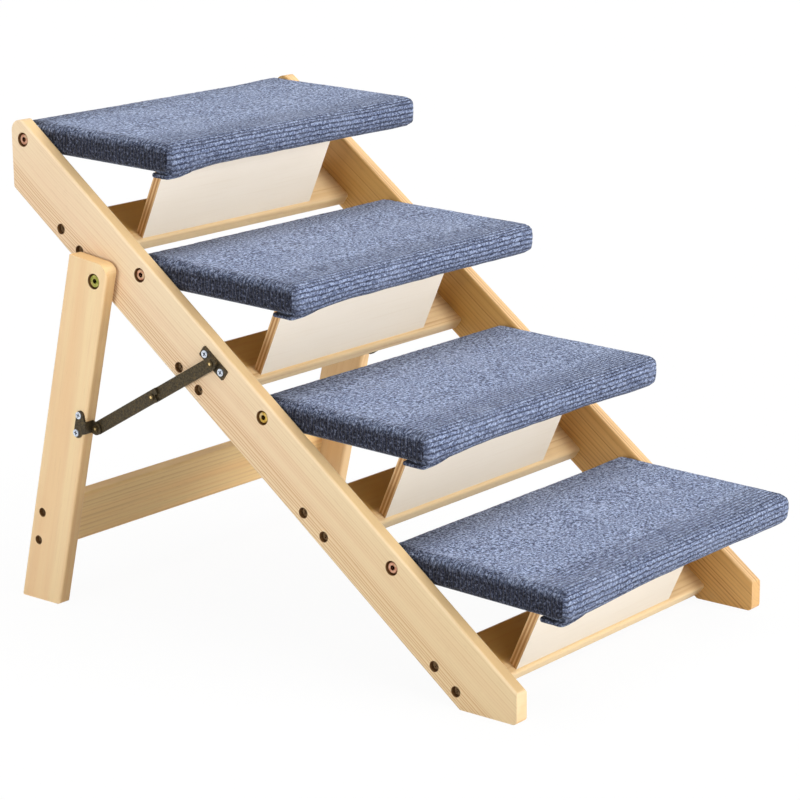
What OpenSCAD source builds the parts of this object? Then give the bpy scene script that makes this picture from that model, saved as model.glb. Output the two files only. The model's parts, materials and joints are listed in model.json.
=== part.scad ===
// Folding pet stairs: two sloping side boards, four carpeted treads that turn on bolts,
// a folding prop board under each tread, cross slats, and a pair of folding rear legs.
// Millimetres. +Z is up, +Y runs uphill to the back, X runs across the stairs.
// The origin is on the floor under the middle of the bounding box.

/* [Side boards] */
// Angle of the side boards above the floor in degrees
slope = 36.96; // [30:0.01:45]
// Thickness of the pine boards in the sides, slats, legs and crossbar
board_thick = 14; // [12:0.5:20]
// Depth of a side board at right angles to the slope
side_depth = 60; // [50:1:80]
// Clear width between the two side boards
clear_width = 348; // [300:1:500]
// Level distance from the top tread pivot to the upright back end of a side board
crown_margin = 14.4; // [12:0.1:30]
// Level distance from the heel of a side board to its upright toe cut
toe_run = 62.3; // [50:0.1:80]
// Radius of the corner above the top bolt
crown_r = 10.5; // [4:0.5:20]
// Radius of the lower back corner
back_corner_r = 6; // [1:0.5:12]
// Radius of the corners at the toe
toe_corner_r = 4; // [1:0.5:10]
// Radius along the long edges of the pine boards
edge_r = 3; // [0.5:0.5:5]

/* [Treads] */
// Number of treads
tread_count = 4; // [4]
// Distance between tread pivots along the slope
tread_spacing = 180; // [150:1:220]
// Distance along the slope from the heel to the first tread pivot
first_pivot = 122.1; // [100:0.1:160]
// Height of the tread pivots above the lower edge of the side boards
pivot_height = 46.1; // [30:0.1:50]
// Angle that the treads dip towards the front in degrees
tread_dip = 1.7; // [0:0.1:5]
// Distance from the pivot to the front face of the carpet
tread_reach = 168; // [120:1:220]
// Distance from the pivot to the back face of the carpet
tread_tail = 15; // [8:0.5:20]
// Thickness of the tread board
tread_thick = 18; // [12:1:25]
// Thickness of the carpet
carpet_thick = 4.2; // [2:0.1:6]
// Radius of the carpet along a tread's front edge
nose_r = 8; // [5:0.5:12]
// Radius of the carpet along a tread's back edge
tail_r = 5; // [4.5:0.25:8]
// Width of the hems that the carpet folds in under the board
hem_width = 20; // [10:1:30]
// Gap between a tread and each side board
tread_gap = 1.5; // [1:0.1:4]

/* [Slats and props] */
// Width of a slat and of the crossbar
slat_width = 50; // [40:1:60]
// Height of the underside of the slats above the lower edge of the side boards
slat_lift = 4.2; // [2:0.1:10]
// Distance along the slope from the front edge of a slat back up to its tread pivot
slat_lead = 122.4; // [100:0.1:150]
// Spacing of the two screws at each slat end
slat_screw_gap = 28.8; // [20:0.1:35]
// Width of a prop board
prop_width = 234; // [150:1:300]
// Thickness of a prop board
prop_thick = 9; // [6:0.5:15]
// Angle that a prop board leans forwards from upright in degrees
prop_lean = 24.4; // [15:0.1:30]
// Distance from the front edge of the slat to the foot of the prop
foot_setback = 3.3; // [1:0.1:20]

/* [Prop hinges] */
// Distance from the middle of the prop to the middle of each hinge
hinge_place = 70; // [40:1:100]
// Length of a hinge
hinge_length = 40; // [25:1:60]
// Distance from the hinge pin to the tread board and to the prop's back face
hinge_offset = 2.6; // [2:0.1:4]
// Radius of the hinge pin
hinge_pin_r = 1.2; // [1:0.1:1.5]
// Radius of the hinge knuckles
knuckle_r = 2.5; // [2:0.1:3]
// Length of the middle knuckle
knuckle_length = 15.7; // [10:0.1:20]
// Gap between neighbouring knuckles
knuckle_gap = 0.3; // [0.2:0.1:0.5]
// Thickness of a hinge leaf
leaf_thick = 1.2; // [0.8:0.1:1.5]
// Distance from the pin to the near edge of a leaf's plate
leaf_start = 3.2; // [3:0.1:4]
// Distance from the pin to the far edge of a leaf
leaf_width = 16; // [12:1:20]
// Distance from the pin to the screws of a leaf
leaf_screw_place = 10.5; // [8:0.5:14]
// Distance of each leaf screw from the middle of its hinge
leaf_screw_side = 13; // [8:1:16]
// Radius of a leaf screw's head
leaf_head_r = 2.4; // [2:0.1:3]
// Height of a leaf screw's head
leaf_head_high = 0.8; // [0.5:0.1:1]
// Radius of a leaf screw's shank
leaf_shank_r = 1.2; // [1:0.1:1.5]
// Length of a leaf screw below the leaf
leaf_shank_long = 6; // [4:0.5:7]

/* [Rear legs] */
// Distance along the slope from the top tread pivot down to the leg pivot
leg_pivot_back = 151.9; // [120:0.1:200]
// Height of the leg pivot above the lower edge of the side boards
leg_pivot_height = 14.8; // [10:0.1:30]
// Angle that the legs lean from upright in degrees
leg_lean = 13.8; // [5:0.1:25]
// Width of a leg
leg_width = 50; // [40:1:60]
// Distance from the leg pivot to the leg's front edge
leg_front = 14.5; // [12:0.5:25]
// Distance from the leg pivot to the top of the leg at its front edge
leg_top = 19.4; // [12:0.1:30]
// Angle of the leg's top cut from square in degrees
leg_top_cut = 6.5; // [0:0.5:15]
// Radius of the leg's top front corner
leg_top_r = 11; // [3:0.5:14]
// Radius of the leg's other corners
leg_corner_r = 3; // [1:0.5:10]
// Gap between a leg and its side board
leg_gap = 3; // [2:0.5:5]
// Distance from the leg pivot down to the top edge of the crossbar
crossbar_drop = 233.6; // [150:0.1:260]
// Distance from the leg pivot line back to the crossbar's front face
crossbar_back = 16.4; // [15:0.1:20]
// Distance from the crossbar's top edge to its upper screws
crossbar_screw_drop = 10.4; // [8:0.1:15]
// Spacing of the two screws at each crossbar end
crossbar_screw_gap = 29.1; // [20:0.1:35]

/* [Folding stays] */
// Distance from the leg pivot down to the stay's rivet on the leg
stay_drop = 139.9; // [100:0.1:180]
// Distance from the leg pivot line forward to that rivet
stay_ahead = 20.8; // [20:0.1:25]
// Distance along the slope from the leg pivot down to the stay's rivet on the side board
stay_back = 139.2; // [100:0.1:180]
// Height of that rivet above the lower edge of the side boards
stay_height = 45.5; // [40:0.1:50]
// Width of a stay bar
bar_width = 12; // [8:0.5:15]
// Thickness of a stay bar
bar_thick = 2; // [1.5:0.1:3]
// Sideways gap between stay bars and between a bar and a bracket
bar_gap = 0.2; // [0.1:0.05:0.5]
// Distance that the lower bar runs on beyond the middle rivet
bar_tail = 8.5; // [7:0.5:12]
// Depth of the step in the lower bar's tail
bar_step = 4; // [2:0.5:6]
// Thickness of the bracket plates
plate_thick = 1.5; // [1:0.1:2]
// Length of the bracket on the side board
side_plate_long = 33.8; // [30:0.1:40]
// Width of the bracket on the side board
side_plate_wide = 11; // [9:0.5:15]
// Radius of the corners of a bracket plate
plate_corner_r = 1.5; // [0.5:0.1:3]
// Radius of a bracket's ear around its rivet
ear_r = 6; // [5:0.1:8]
// Spacing of the two screws in the side board's bracket
side_plate_screw_gap = 23.2; // [20:0.1:28]
// Distance of the bracket plate's lower edge below its rivet
side_plate_drop = 5.5; // [4:0.1:8]
// Height of the leg bracket's plate
leg_plate_high = 26.8; // [20:0.1:35]
// Distance of the leg bracket plate's top edge above its rivet
leg_plate_rise = 14.5; // [10:0.5:20]
// Distance from the leg pivot line forward to the plate's back edge
leg_plate_back = 3.2; // [0:0.1:4]
// Radius of the leg bracket plate's round ends
leg_plate_end_r = 4.7; // [4:0.1:5.5]
// Distance from the leg pivot line forward to the leg bracket's screws
leg_plate_screw_ahead = 6.7; // [5:0.1:9]
// Spacing of the two screws in the leg's bracket
leg_plate_screw_gap = 17.7; // [12:0.1:22]

/* [Fasteners] */
// Radius of the bolts that the treads and legs turn on
bolt_r = 3; // [2.5:0.5:5]
// Radial running clearance around a turning bolt, rivet or hinge pin
running_fit = 0.05; // [0.02:0.01:0.1]
// Radial clearance where a shank only passes through
loose_fit = 0.4; // [0.3:0.05:0.8]
// Radius of a tread bolt's head
tread_head_r = 5.35; // [5:0.05:7]
// Radius of the counterbore around a tread bolt's head
tread_sink_r = 6.4; // [6:0.1:9]
// Radius of a leg bolt's head
leg_head_r = 6.2; // [5:0.1:8]
// Radius of the counterbore around a leg bolt's head
leg_sink_r = 7; // [6:0.1:9]
// Depth of the counterbores
sink_depth = 5; // [3:0.5:8]
// Height of a bolt's head
head_high = 3.6; // [3:0.1:5]
// Bevel around a bolt's head
head_bevel = 0.8; // [0.3:0.1:1.5]
// Width across the flats of the socket in a bolt's head
socket_width = 4.4; // [3:0.1:6]
// Depth of the sockets
socket_depth = 2.4; // [1:0.1:3]
// Length of a bolt's shank beyond the inner face of its side board
bolt_reach = 22; // [15:1:30]
// Outer radius of the threaded inserts
insert_r = 4.5; // [4:0.1:6]
// Length of the inserts in the tread boards
insert_long = 15; // [10:1:20]
// Length of the inserts in the side boards
side_insert_long = 13; // [8:0.5:14]
// Radius of the flange of the inserts in the side boards
flange_r = 7; // [6:0.5:9]
// Thickness of that flange
flange_thick = 1.2; // [1:0.1:2]
// Outer radius of the washers beside the treads
tread_washer_r = 6.5; // [6:0.5:9]
// Outer radius of the washers beside the legs
leg_washer_r = 9; // [7:0.5:12]
// Radius of the screw holes at the slats
slat_hole_r = 4.7; // [4:0.1:6]
// Radius of the screw holes at the crossbar
crossbar_hole_r = 4.15; // [4:0.05:6]
// Depth of the screw holes
hole_depth = 6; // [4:0.5:9]
// Radius of a frame screw's head
screw_head_r = 3.9; // [3:0.1:4]
// Height of a frame screw's head
screw_head_high = 2.4; // [2:0.1:4]
// Radius of a frame screw's shank
screw_r = 2; // [1.5:0.1:3]
// Length of a frame screw below its head
screw_long = 38; // [25:1:50]
// Radius of a bracket screw's head
small_head_r = 3.4; // [2.5:0.1:4]
// Height of a bracket screw's head
small_head_high = 1.2; // [1:0.1:1.6]
// Radius of a bracket screw's shank
small_screw_r = 1.6; // [1:0.1:2]
// Length of a bracket screw below its head
small_screw_long = 11; // [8:0.5:13]
// Length of the point of a screw
point_long = 3; // [2:0.5:5]
// Width of one arm of the cross in a screw's head
cross_width = 0.9; // [0.5:0.1:1.2]
// Share of a screw head's height that the cross is cut in
cross_share = 0.6; // [0.3:0.1:0.8]
// Share of a screw head's width that the cross spans
cross_span_share = 0.62; // [0.4:0.02:0.8]
// Radius of the rivet shanks
rivet_r = 2; // [1.5:0.1:2.5]
// Radius of the rivet heads
rivet_head_r = 3.2; // [2.5:0.1:3.5]
// Height of the rivet heads
rivet_head_high = 1; // [0.5:0.1:1.5]
// Radial clearance between a fastener and the hole it is fixed in
fixed_fit = 0.05; // [0.02:0.01:0.1]

/* [Display] */
// Colour of the pine boards
pine = [0.90, 0.78, 0.60];
// Colour of the plywood props
plywood = [0.93, 0.88, 0.80];
// Colour of the carpet
carpet_blue = [0.45, 0.50, 0.62];
// Colour of the stay bars and brackets
bronze = [0.33, 0.28, 0.22];
// Colour of the tread bolts
copper = [0.75, 0.50, 0.45];
// Colour of the leg bolts
yellow_zinc = [0.70, 0.68, 0.35];
// Colour of the screws, washers, inserts and hinges
zinc = [0.75, 0.76, 0.78];
// Colour of the rivets
brass = [0.78, 0.62, 0.32];
// Sub-part to draw

/* [Hidden] */
$fn = 64;
// Overrun that takes a cut cleanly through a face
over = 1;
// Straight pieces in each corner arc
arc_steps = 8;
// Sides of the sockets
hex_sides = 6;

// Levels across the stairs
side_in = clear_width / 2;
side_out = side_in + board_thick;
leg_in = side_out + leg_gap;
leg_out = leg_in + board_thick;
tread_half = side_in - tread_gap;
board_half = tread_half - carpet_thick;
side_plate_out = side_out + plate_thick;
side_ear_out = side_plate_out + plate_thick;
upper_in = side_ear_out + bar_gap;
upper_out = upper_in + bar_thick;
lower_in = upper_out + bar_gap;
lower_out = lower_in + bar_thick;
leg_ear_in = lower_out + bar_gap;
leg_ear_out = leg_ear_in + plate_thick;
leg_plate_out = leg_out + plate_thick;

// Angle at which the leg plate's neck runs into its round ends
neck_turn = 50;

// Heights above the lower edge of the side boards
slat_top = slat_lift + board_thick;

// Tread sections
carpet_half = tread_thick / 2 + carpet_thick;
board_reach = tread_reach - carpet_thick;
board_tail = tread_tail - carpet_thick;

// Foot of a prop seen from its tread pivot, turned into the tread's frame
foot_run = foot_setback - slat_lead;
foot_rise = slat_top - pivot_height;
foot_depth = -foot_run * sin(slope - tread_dip) - foot_rise * cos(slope - tread_dip);
prop_turn = prop_lean - tread_dip;
prop_high = (foot_depth - tread_thick / 2) / cos(prop_turn);
pin_y = prop_thick + hinge_offset;
pin_z = prop_high - pin_y * tan(prop_turn) - hinge_offset / cos(prop_turn);

// Places along the slope, measured from the heel
last_pivot = first_pivot + (tread_count - 1) * tread_spacing;
side_run = last_pivot * cos(slope) - pivot_height * sin(slope) + crown_margin;
leg_pivot_run = last_pivot - leg_pivot_back;
stay_run = leg_pivot_run - stay_back;

// Stay rivets in the slope's frame
leg_turn = leg_lean - slope;
stay_leg_y = leg_pivot_run - stay_ahead * cos(leg_turn) + stay_drop * sin(leg_turn);
stay_leg_z = leg_pivot_height - stay_ahead * sin(leg_turn) - stay_drop * cos(leg_turn);
stay_dy = stay_run - stay_leg_y;
stay_dz = stay_height - stay_leg_z;
stay_long = sqrt(stay_dy * stay_dy + stay_dz * stay_dz);
bar_long = stay_long / 2;
bar_turn = atan2(stay_dz, stay_dy);

// Middle of the bounding box, measured from the heel
nose_front = (tread_reach - nose_r) * cos(tread_dip) + (carpet_half - nose_r) * sin(tread_dip) + nose_r;
front_y = first_pivot * cos(slope) - pivot_height * sin(slope) - nose_front;
heel_y = -(front_y + side_run) / 2;

// Helpers
function corner(a, p, b, r) =
    let (
        u = (a - p) / norm(a - p),
        v = (b - p) / norm(b - p),
        half = acos(u * v) / 2,
        c = p + (u + v) / norm(u + v) * r / sin(half),
        s = p + u * r / tan(half) - c,
        e = p + v * r / tan(half) - c,
        start = atan2(s.y, s.x),
        turn = atan2(s.x * e.y - s.y * e.x, s * e)
    )
    [for (i = [0:arc_steps]) let (a = start + turn * i / arc_steps) c + r * [cos(a), sin(a)]];

module rounded(low, high, r) {
    size = high - low;
    translate(low + [r, 0]) square([size.x - 2 * r, size.y]);
    translate(low + [0, r]) square([size.x, size.y - 2 * r]);
    for (x = [low.x + r, high.x - r])
        for (y = [low.y + r, high.y - r])
            translate([x, y]) circle(r);
}

module along_x(from, to)
    translate([from, 0, 0]) rotate([90, 0, 90]) linear_extrude(to - from) children();

module rod(from, to, r)
    translate([from, 0, 0]) rotate([0, 90, 0]) cylinder(h = to - from, r = r);

module left() mirror([1, 0, 0]) children();

module both() {
    children();
    left() children();
}

// Frames of reference
module slope_frame() translate([0, heel_y, 0]) rotate([slope, 0, 0]) children();

module pivot_frame(k) slope_frame()
    translate([0, first_pivot + k * tread_spacing, pivot_height]) children();

module tread_frame(k) pivot_frame(k) rotate([tread_dip - slope, 0, 0]) children();

module slat_frame(k) pivot_frame(k) translate([0, -slat_lead, slat_lift - pivot_height]) children();

module prop_frame(k) slat_frame(k)
    translate([0, foot_setback, board_thick]) rotate([prop_lean - slope, 0, 0]) children();

module prop_pin_frame(k) prop_frame(k) translate([0, pin_y, pin_z]) children();

module tread_pin_frame(k) prop_pin_frame(k) rotate([-prop_turn, 0, 0]) children();

module leg_frame() slope_frame()
    translate([0, leg_pivot_run, leg_pivot_height]) rotate([leg_turn, 0, 0]) children();

module stay_side_frame() slope_frame() translate([0, stay_run, stay_height]) children();

module stay_leg_frame() leg_frame() translate([0, -stay_ahead, -stay_drop]) children();

module stay_bar_frame() slope_frame()
    translate([0, stay_leg_y, stay_leg_z]) rotate([bar_turn, 0, 0]) children();

// Places
module at_slat_screws(k) slat_frame(k)
    for (y = [-slat_screw_gap / 2, slat_screw_gap / 2])
        translate([0, slat_width / 2 + y, board_thick / 2]) children();

module at_crossbar_screws() leg_frame()
    for (z = [0, crossbar_screw_gap])
        translate([0, crossbar_back + board_thick / 2, -crossbar_drop - crossbar_screw_drop - z])
            children();

module at_side_plate_screws() stay_side_frame()
    for (y = [-side_plate_screw_gap / 2, side_plate_screw_gap / 2])
        translate([0, y, side_plate_wide / 2 - side_plate_drop]) children();

module at_leg_plate_screws() leg_frame()
    for (z = [0, leg_plate_screw_gap])
        translate([
            0,
            -leg_plate_screw_ahead,
            leg_plate_rise - stay_drop - (leg_plate_high - leg_plate_screw_gap) / 2 - z
        ]) children();

module at_hinges()
    for (x = [-hinge_place, hinge_place])
        translate([x, 0, 0]) children();

module at_leaf_screws()
    at_hinges()
        for (x = [-leaf_screw_side, leaf_screw_side])
            translate([x, 0, 0]) children();

// Fasteners, all drawn for the side at +X
module hex_hole(width)
    polygon([for (i = [0:hex_sides - 1])
        width / 2 / cos(180 / hex_sides) * [cos(i * 360 / hex_sides), sin(i * 360 / hex_sides)]]);

module bolt(under_head, tip, head_r) {
    difference() {
        translate([under_head, 0, 0]) rotate([0, 90, 0]) rotate_extrude()
            polygon([
                [0, 0],
                [head_r, 0],
                [head_r, head_high - head_bevel],
                [head_r - head_bevel, head_high],
                [0, head_high]
            ]);
        along_x(under_head + head_high - socket_depth, under_head + head_high + over)
            hex_hole(socket_width);
    }
    rod(tip, under_head + over, bolt_r);
}

module screw(under_head, long, head_r, head_thick, shank_r) {
    span = 2 * head_r * cross_span_share;
    difference() {
        rod(under_head, under_head + head_thick, head_r);
        for (a = [0, 90])
            translate([under_head + head_thick * (1 - cross_share), 0, 0])
                rotate([a, 0, 0])
                    translate([0, -span / 2, -cross_width / 2])
                        cube([head_thick, span, cross_width]);
    }
    rod(under_head - long + point_long, under_head, shank_r);
    translate([under_head - long, 0, 0]) rotate([0, 90, 0])
        cylinder(h = point_long, r1 = 0, r2 = shank_r);
}

module screw_hole(face, depth, hole_r) {
    rod(face - depth, face + over, hole_r);
    rod(face - depth - screw_long, face, screw_r + fixed_fit);
}

module ring(from, to, outer, inner)
    difference() {
        rod(from, to, outer);
        rod(from - over, to + over, inner);
    }

// Side boards
module side_outline() {
    rise = side_run * tan(slope);
    tall = side_depth / cos(slope);
    heel = [0, 0];
    toe = [-toe_run, 0];
    toe_top = [-toe_run, tall - toe_run * tan(slope)];
    crown = [side_run, rise + tall];
    low = [side_run, rise];
    polygon(concat(
        corner(low, heel, toe, toe_corner_r),
        corner(heel, toe, toe_top, toe_corner_r),
        corner(toe, toe_top, crown, toe_corner_r),
        corner(toe_top, crown, low, crown_r),
        corner(crown, low, heel, back_corner_r)
    ));
}

module side_board() {
    reach = (side_run + toe_run) / cos(slope);
    difference() {
        intersection() {
            translate([0, heel_y, 0]) along_x(side_in, side_out) side_outline();
            slope_frame()
                translate([0, reach + toe_run, 0]) rotate([90, 0, 0])
                    linear_extrude(reach + toe_run + toe_run + toe_run)
                        rounded([side_in, 0], [side_out, side_depth], edge_r);
        }
        for (k = [0:tread_count - 1]) {
            pivot_frame(k) {
                rod(side_in - over, side_out, bolt_r + running_fit);
                rod(side_out - sink_depth, side_out + over, tread_sink_r);
            }
            at_slat_screws(k) screw_hole(side_out, hole_depth, slat_hole_r);
        }
        leg_frame() rod(side_in - over, side_out + over, insert_r + fixed_fit);
        at_side_plate_screws()
            rod(side_plate_out - small_screw_long - over, side_out + over, small_screw_r + fixed_fit);
    }
}

module stringer_right() color(pine) side_board();

module stringer_left() color(pine) left() side_board();

// Slats
module slat(k)
    color(pine) difference() {
        slat_frame(k) along_x(-side_in, side_in)
            rounded([0, 0], [slat_width, board_thick], edge_r);
        both() at_slat_screws(k) screw_hole(side_out, hole_depth, screw_r);
    }

module slat_screws()
    color(zinc) both() for (k = [0:tread_count - 1]) at_slat_screws(k)
        screw(side_out - hole_depth, screw_long, screw_head_r, screw_head_high, screw_r);

// Treads, cover is what the carpet adds to the bare board
module tread_section(cover) {
    low = [-board_reach - cover, -tread_thick / 2 - cover];
    high = [board_tail + cover, tread_thick / 2 + cover];
    rounded(low, [0, high.y], nose_r - carpet_thick + cover);
    rounded([-tread_thick - cover, low.y], high, tail_r - carpet_thick + cover);
}

module tread_board(k)
    color(pine) difference() {
        tread_frame(k) along_x(-board_half, board_half) tread_section(0);
        tread_frame(k) both()
            rod(tread_half - bolt_reach - over - over, tread_half, insert_r + fixed_fit);
        tread_pin_frame(k) at_leaf_screws()
            translate([0, leaf_screw_place, hinge_offset - over])
                cylinder(h = leaf_shank_long + over + over, r = leaf_shank_r + fixed_fit);
    }

module tread_carpet(k)
    color(carpet_blue) tread_frame(k) difference() {
        along_x(-tread_half, tread_half) tread_section(carpet_thick);
        along_x(-board_half, board_half) tread_section(0);
        translate([hem_width - board_half, hem_width - board_reach, -carpet_half - over])
            cube([
                2 * (board_half - hem_width),
                board_reach + board_tail - 2 * hem_width,
                carpet_thick + over + over
            ]);
        both() rod(board_half - over, tread_half + over, bolt_r + loose_fit);
    }

module tread_bolts(k)
    color(copper) pivot_frame(k) both()
        bolt(side_out - sink_depth, tread_half - bolt_reach, tread_head_r);

module tread_inserts(k)
    color(zinc) pivot_frame(k) both()
        ring(board_half - insert_long, board_half, insert_r, bolt_r + fixed_fit);

module tread_washers()
    color(zinc) for (k = [0:tread_count - 1]) pivot_frame(k) both()
        ring(tread_half, side_in, tread_washer_r, bolt_r + loose_fit);

// Prop hinges
module leaf_plate(from, to)
    along_x(from, to)
        translate([leaf_start, hinge_offset - leaf_thick])
            square([leaf_width - leaf_start, leaf_thick]);

module leaf_tab(from, to) {
    along_x(from, to)
        translate([0, hinge_offset - leaf_thick]) square([leaf_start, leaf_thick]);
    rod(from, to, knuckle_r);
}

module leaf_screw()
    translate([0, leaf_screw_place, 0]) {
        translate([0, 0, hinge_offset - leaf_thick - leaf_head_high])
            cylinder(h = leaf_head_high, r = leaf_head_r);
        translate([0, 0, hinge_offset - leaf_thick])
            cylinder(h = leaf_thick + leaf_shank_long, r = leaf_shank_r);
    }

module prop_hinge_upper(k)
    color(zinc) tread_pin_frame(k) {
        at_hinges() {
            leaf_plate(-hinge_length / 2, hinge_length / 2);
            leaf_tab(-hinge_length / 2, -knuckle_length / 2 - knuckle_gap);
            leaf_tab(knuckle_length / 2 + knuckle_gap, hinge_length / 2);
            rod(-hinge_length / 2, hinge_length / 2, hinge_pin_r);
        }
        at_leaf_screws() leaf_screw();
    }

module prop_hinge_lower(k)
    color(zinc) prop_pin_frame(k) rotate([90, 0, 0]) mirror([0, 1, 0]) {
        at_hinges() difference() {
            union() {
                leaf_plate(-hinge_length / 2, hinge_length / 2);
                leaf_tab(-knuckle_length / 2, knuckle_length / 2);
            }
            rod(-hinge_length, hinge_length, hinge_pin_r + running_fit);
        }
        at_leaf_screws() leaf_screw();
    }

// Props
module prop_panel(k)
    color(plywood) difference() {
        prop_frame(k) along_x(-prop_width / 2, prop_width / 2)
            polygon([
                [0, 0],
                [prop_thick, prop_thick * tan(slope - prop_lean)],
                [prop_thick, prop_high - prop_thick * tan(prop_turn)],
                [0, prop_high]
            ]);
        prop_pin_frame(k) at_leaf_screws()
            translate([0, over - hinge_offset, -leaf_screw_place]) rotate([90, 0, 0])
                cylinder(h = leaf_shank_long + over + over, r = leaf_shank_r + fixed_fit);
    }

// Rear legs
module leg_outline() {
    reach = leg_width - leg_front;
    pivot_z = leg_pivot_run * sin(slope) + leg_pivot_height * cos(slope);
    foot_front = [-leg_front, (leg_front * sin(leg_lean) - pivot_z) / cos(leg_lean)];
    foot_back = [reach, (-reach * sin(leg_lean) - pivot_z) / cos(leg_lean)];
    top_back = [reach, leg_top - leg_width * tan(leg_top_cut)];
    top_front = [-leg_front, leg_top];
    polygon(concat(
        corner(top_front, foot_front, foot_back, leg_corner_r),
        corner(foot_front, foot_back, top_back, leg_corner_r),
        corner(foot_back, top_back, top_front, leg_corner_r),
        corner(top_back, top_front, foot_front, leg_top_r)
    ));
}

module leg() {
    long = leg_pivot_run;
    difference() {
        leg_frame() intersection() {
            along_x(leg_in, leg_out) leg_outline();
            translate([0, 0, -long]) linear_extrude(long + long)
                rounded([leg_in, -leg_front], [leg_out, leg_width - leg_front], edge_r);
        }
        leg_frame() {
            rod(leg_in - over, leg_out, bolt_r + running_fit);
            rod(leg_out - sink_depth, leg_out + over, leg_sink_r);
        }
        at_crossbar_screws() screw_hole(leg_out, hole_depth, crossbar_hole_r);
        at_leg_plate_screws()
            rod(leg_plate_out - small_screw_long - over, leg_out + over, small_screw_r + fixed_fit);
    }
}

module leg_right() color(pine) leg();

module leg_left() color(pine) left() leg();

module leg_crossbar()
    color(pine) difference() {
        leg_frame() along_x(-leg_in, leg_in)
            rounded(
                [crossbar_back, -crossbar_drop - slat_width],
                [crossbar_back + board_thick, -crossbar_drop],
                edge_r
            );
        both() at_crossbar_screws() screw_hole(leg_out, hole_depth, screw_r);
    }

module crossbar_screws()
    color(zinc) both() at_crossbar_screws()
        screw(leg_out - hole_depth, screw_long, screw_head_r, screw_head_high, screw_r);

module leg_pivot_bolts()
    color(yellow_zinc) leg_frame() both()
        bolt(leg_out - sink_depth, side_in, leg_head_r);

module leg_pivot_inserts()
    color(zinc) leg_frame() both() {
        ring(side_in, side_in + side_insert_long, insert_r, bolt_r + fixed_fit);
        ring(side_in - flange_thick, side_in, flange_r, bolt_r + fixed_fit);
    }

module leg_pivot_washers()
    color(zinc) leg_frame() both()
        ring(side_out, leg_in, leg_washer_r, bolt_r + loose_fit);

// Brackets of the stays
module side_bracket()
    color(bronze) difference() {
        stay_side_frame() {
            along_x(side_out, side_plate_out)
                rounded(
                    [-side_plate_long / 2, -side_plate_drop],
                    [side_plate_long / 2, side_plate_wide - side_plate_drop],
                    plate_corner_r
                );
            rod(side_plate_out, side_ear_out, ear_r);
        }
        stay_side_frame() rod(side_out - over, side_ear_out + over, rivet_r + fixed_fit);
        at_side_plate_screws() rod(side_out - over, side_ear_out, small_screw_r + fixed_fit);
    }

module stay_stringer_bracket_right() side_bracket();

module stay_stringer_bracket_left() left() side_bracket();

module stringer_bracket_screws()
    color(zinc) both() at_side_plate_screws()
        screw(side_plate_out, small_screw_long, small_head_r, small_head_high, small_screw_r);

module leg_bracket()
    color(bronze) difference() {
        stay_leg_frame() {
            ahead = stay_ahead - leg_front;
            middle = stay_ahead - leg_plate_back - leg_plate_end_r;
            top = [middle, leg_plate_rise - leg_plate_end_r];
            bottom = [middle, leg_plate_rise - leg_plate_high + leg_plate_end_r];
            neck = leg_plate_end_r * [-cos(neck_turn), sin(neck_turn)];
            along_x(leg_out, leg_plate_out) {
                for (end = [top, bottom])
                    translate(end) circle(leg_plate_end_r);
                translate(bottom) square([leg_plate_end_r, top.y - bottom.y]);
                polygon([
                    [ahead - plate_thick, -ear_r],
                    [ahead, -ear_r],
                    bottom + [neck.x, -neck.y],
                    bottom,
                    top,
                    top + neck,
                    [ahead, ear_r],
                    [ahead - plate_thick, ear_r]
                ]);
            }
            along_x(leg_ear_in, leg_plate_out)
                translate([ahead - plate_thick, -ear_r]) square([plate_thick, 2 * ear_r]);
            along_x(leg_ear_in, leg_ear_out)
                translate([0, -ear_r]) square([ahead, 2 * ear_r]);
            rod(leg_ear_in, leg_ear_out, ear_r);
        }
        stay_leg_frame() rod(leg_ear_in - over, leg_ear_out + over, rivet_r + fixed_fit);
        at_leg_plate_screws() rod(leg_out - over, leg_plate_out + over, small_screw_r + fixed_fit);
    }

module stay_leg_bracket_right() leg_bracket();

module stay_leg_bracket_left() left() leg_bracket();

module leg_bracket_screws()
    color(zinc) both() at_leg_plate_screws()
        screw(leg_plate_out, small_screw_long, small_head_r, small_head_high, small_screw_r);

// Stay bars, drawn from the leg's rivet towards the side board's rivet
module upper_bar()
    color(bronze) stay_bar_frame() difference() {
        along_x(upper_in, upper_out) {
            translate([bar_long, -bar_width / 2]) square([bar_long, bar_width]);
            for (y = [bar_long, stay_long]) translate([y, 0]) circle(bar_width / 2);
        }
        translate([0, stay_long, 0]) rod(upper_in - over, upper_out + over, rivet_r + running_fit);
        translate([0, bar_long, 0]) rod(upper_in - over, upper_out + over, rivet_r + fixed_fit);
    }

module stay_upper_bar_right() upper_bar();

module stay_upper_bar_left() left() upper_bar();

module lower_bar()
    color(bronze) stay_bar_frame() difference() {
        along_x(lower_in, lower_out) {
            translate([0, -bar_width / 2]) square([bar_long + bar_tail - bar_step, bar_width]);
            translate([0, -bar_width / 2]) square([bar_long + bar_tail, bar_width / 2]);
            circle(bar_width / 2);
        }
        rod(lower_in - over, lower_out + over, rivet_r + running_fit);
        translate([0, bar_long, 0]) rod(lower_in - over, lower_out + over, rivet_r + fixed_fit);
    }

module stay_lower_bar_right() lower_bar();

module stay_lower_bar_left() left() lower_bar();

// Rivets
module stay_upper_rivets()
    color(brass) both() stay_side_frame() {
        rod(side_out, upper_out, rivet_r);
        rod(upper_out, upper_out + rivet_head_high, rivet_head_r);
    }

module stay_lower_rivets()
    color(brass) both() stay_leg_frame() {
        rod(lower_in - rivet_head_high, lower_in, rivet_head_r);
        rod(lower_in, leg_ear_out, rivet_r);
        rod(leg_ear_out, leg_ear_out + rivet_head_high, rivet_head_r);
    }

module mid_rivet_inner()
    color(brass) stay_bar_frame() translate([0, bar_long, 0]) {
        rod(upper_in - rivet_head_high, upper_in, rivet_head_r);
        rod(upper_in, upper_out, rivet_r);
    }

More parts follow.
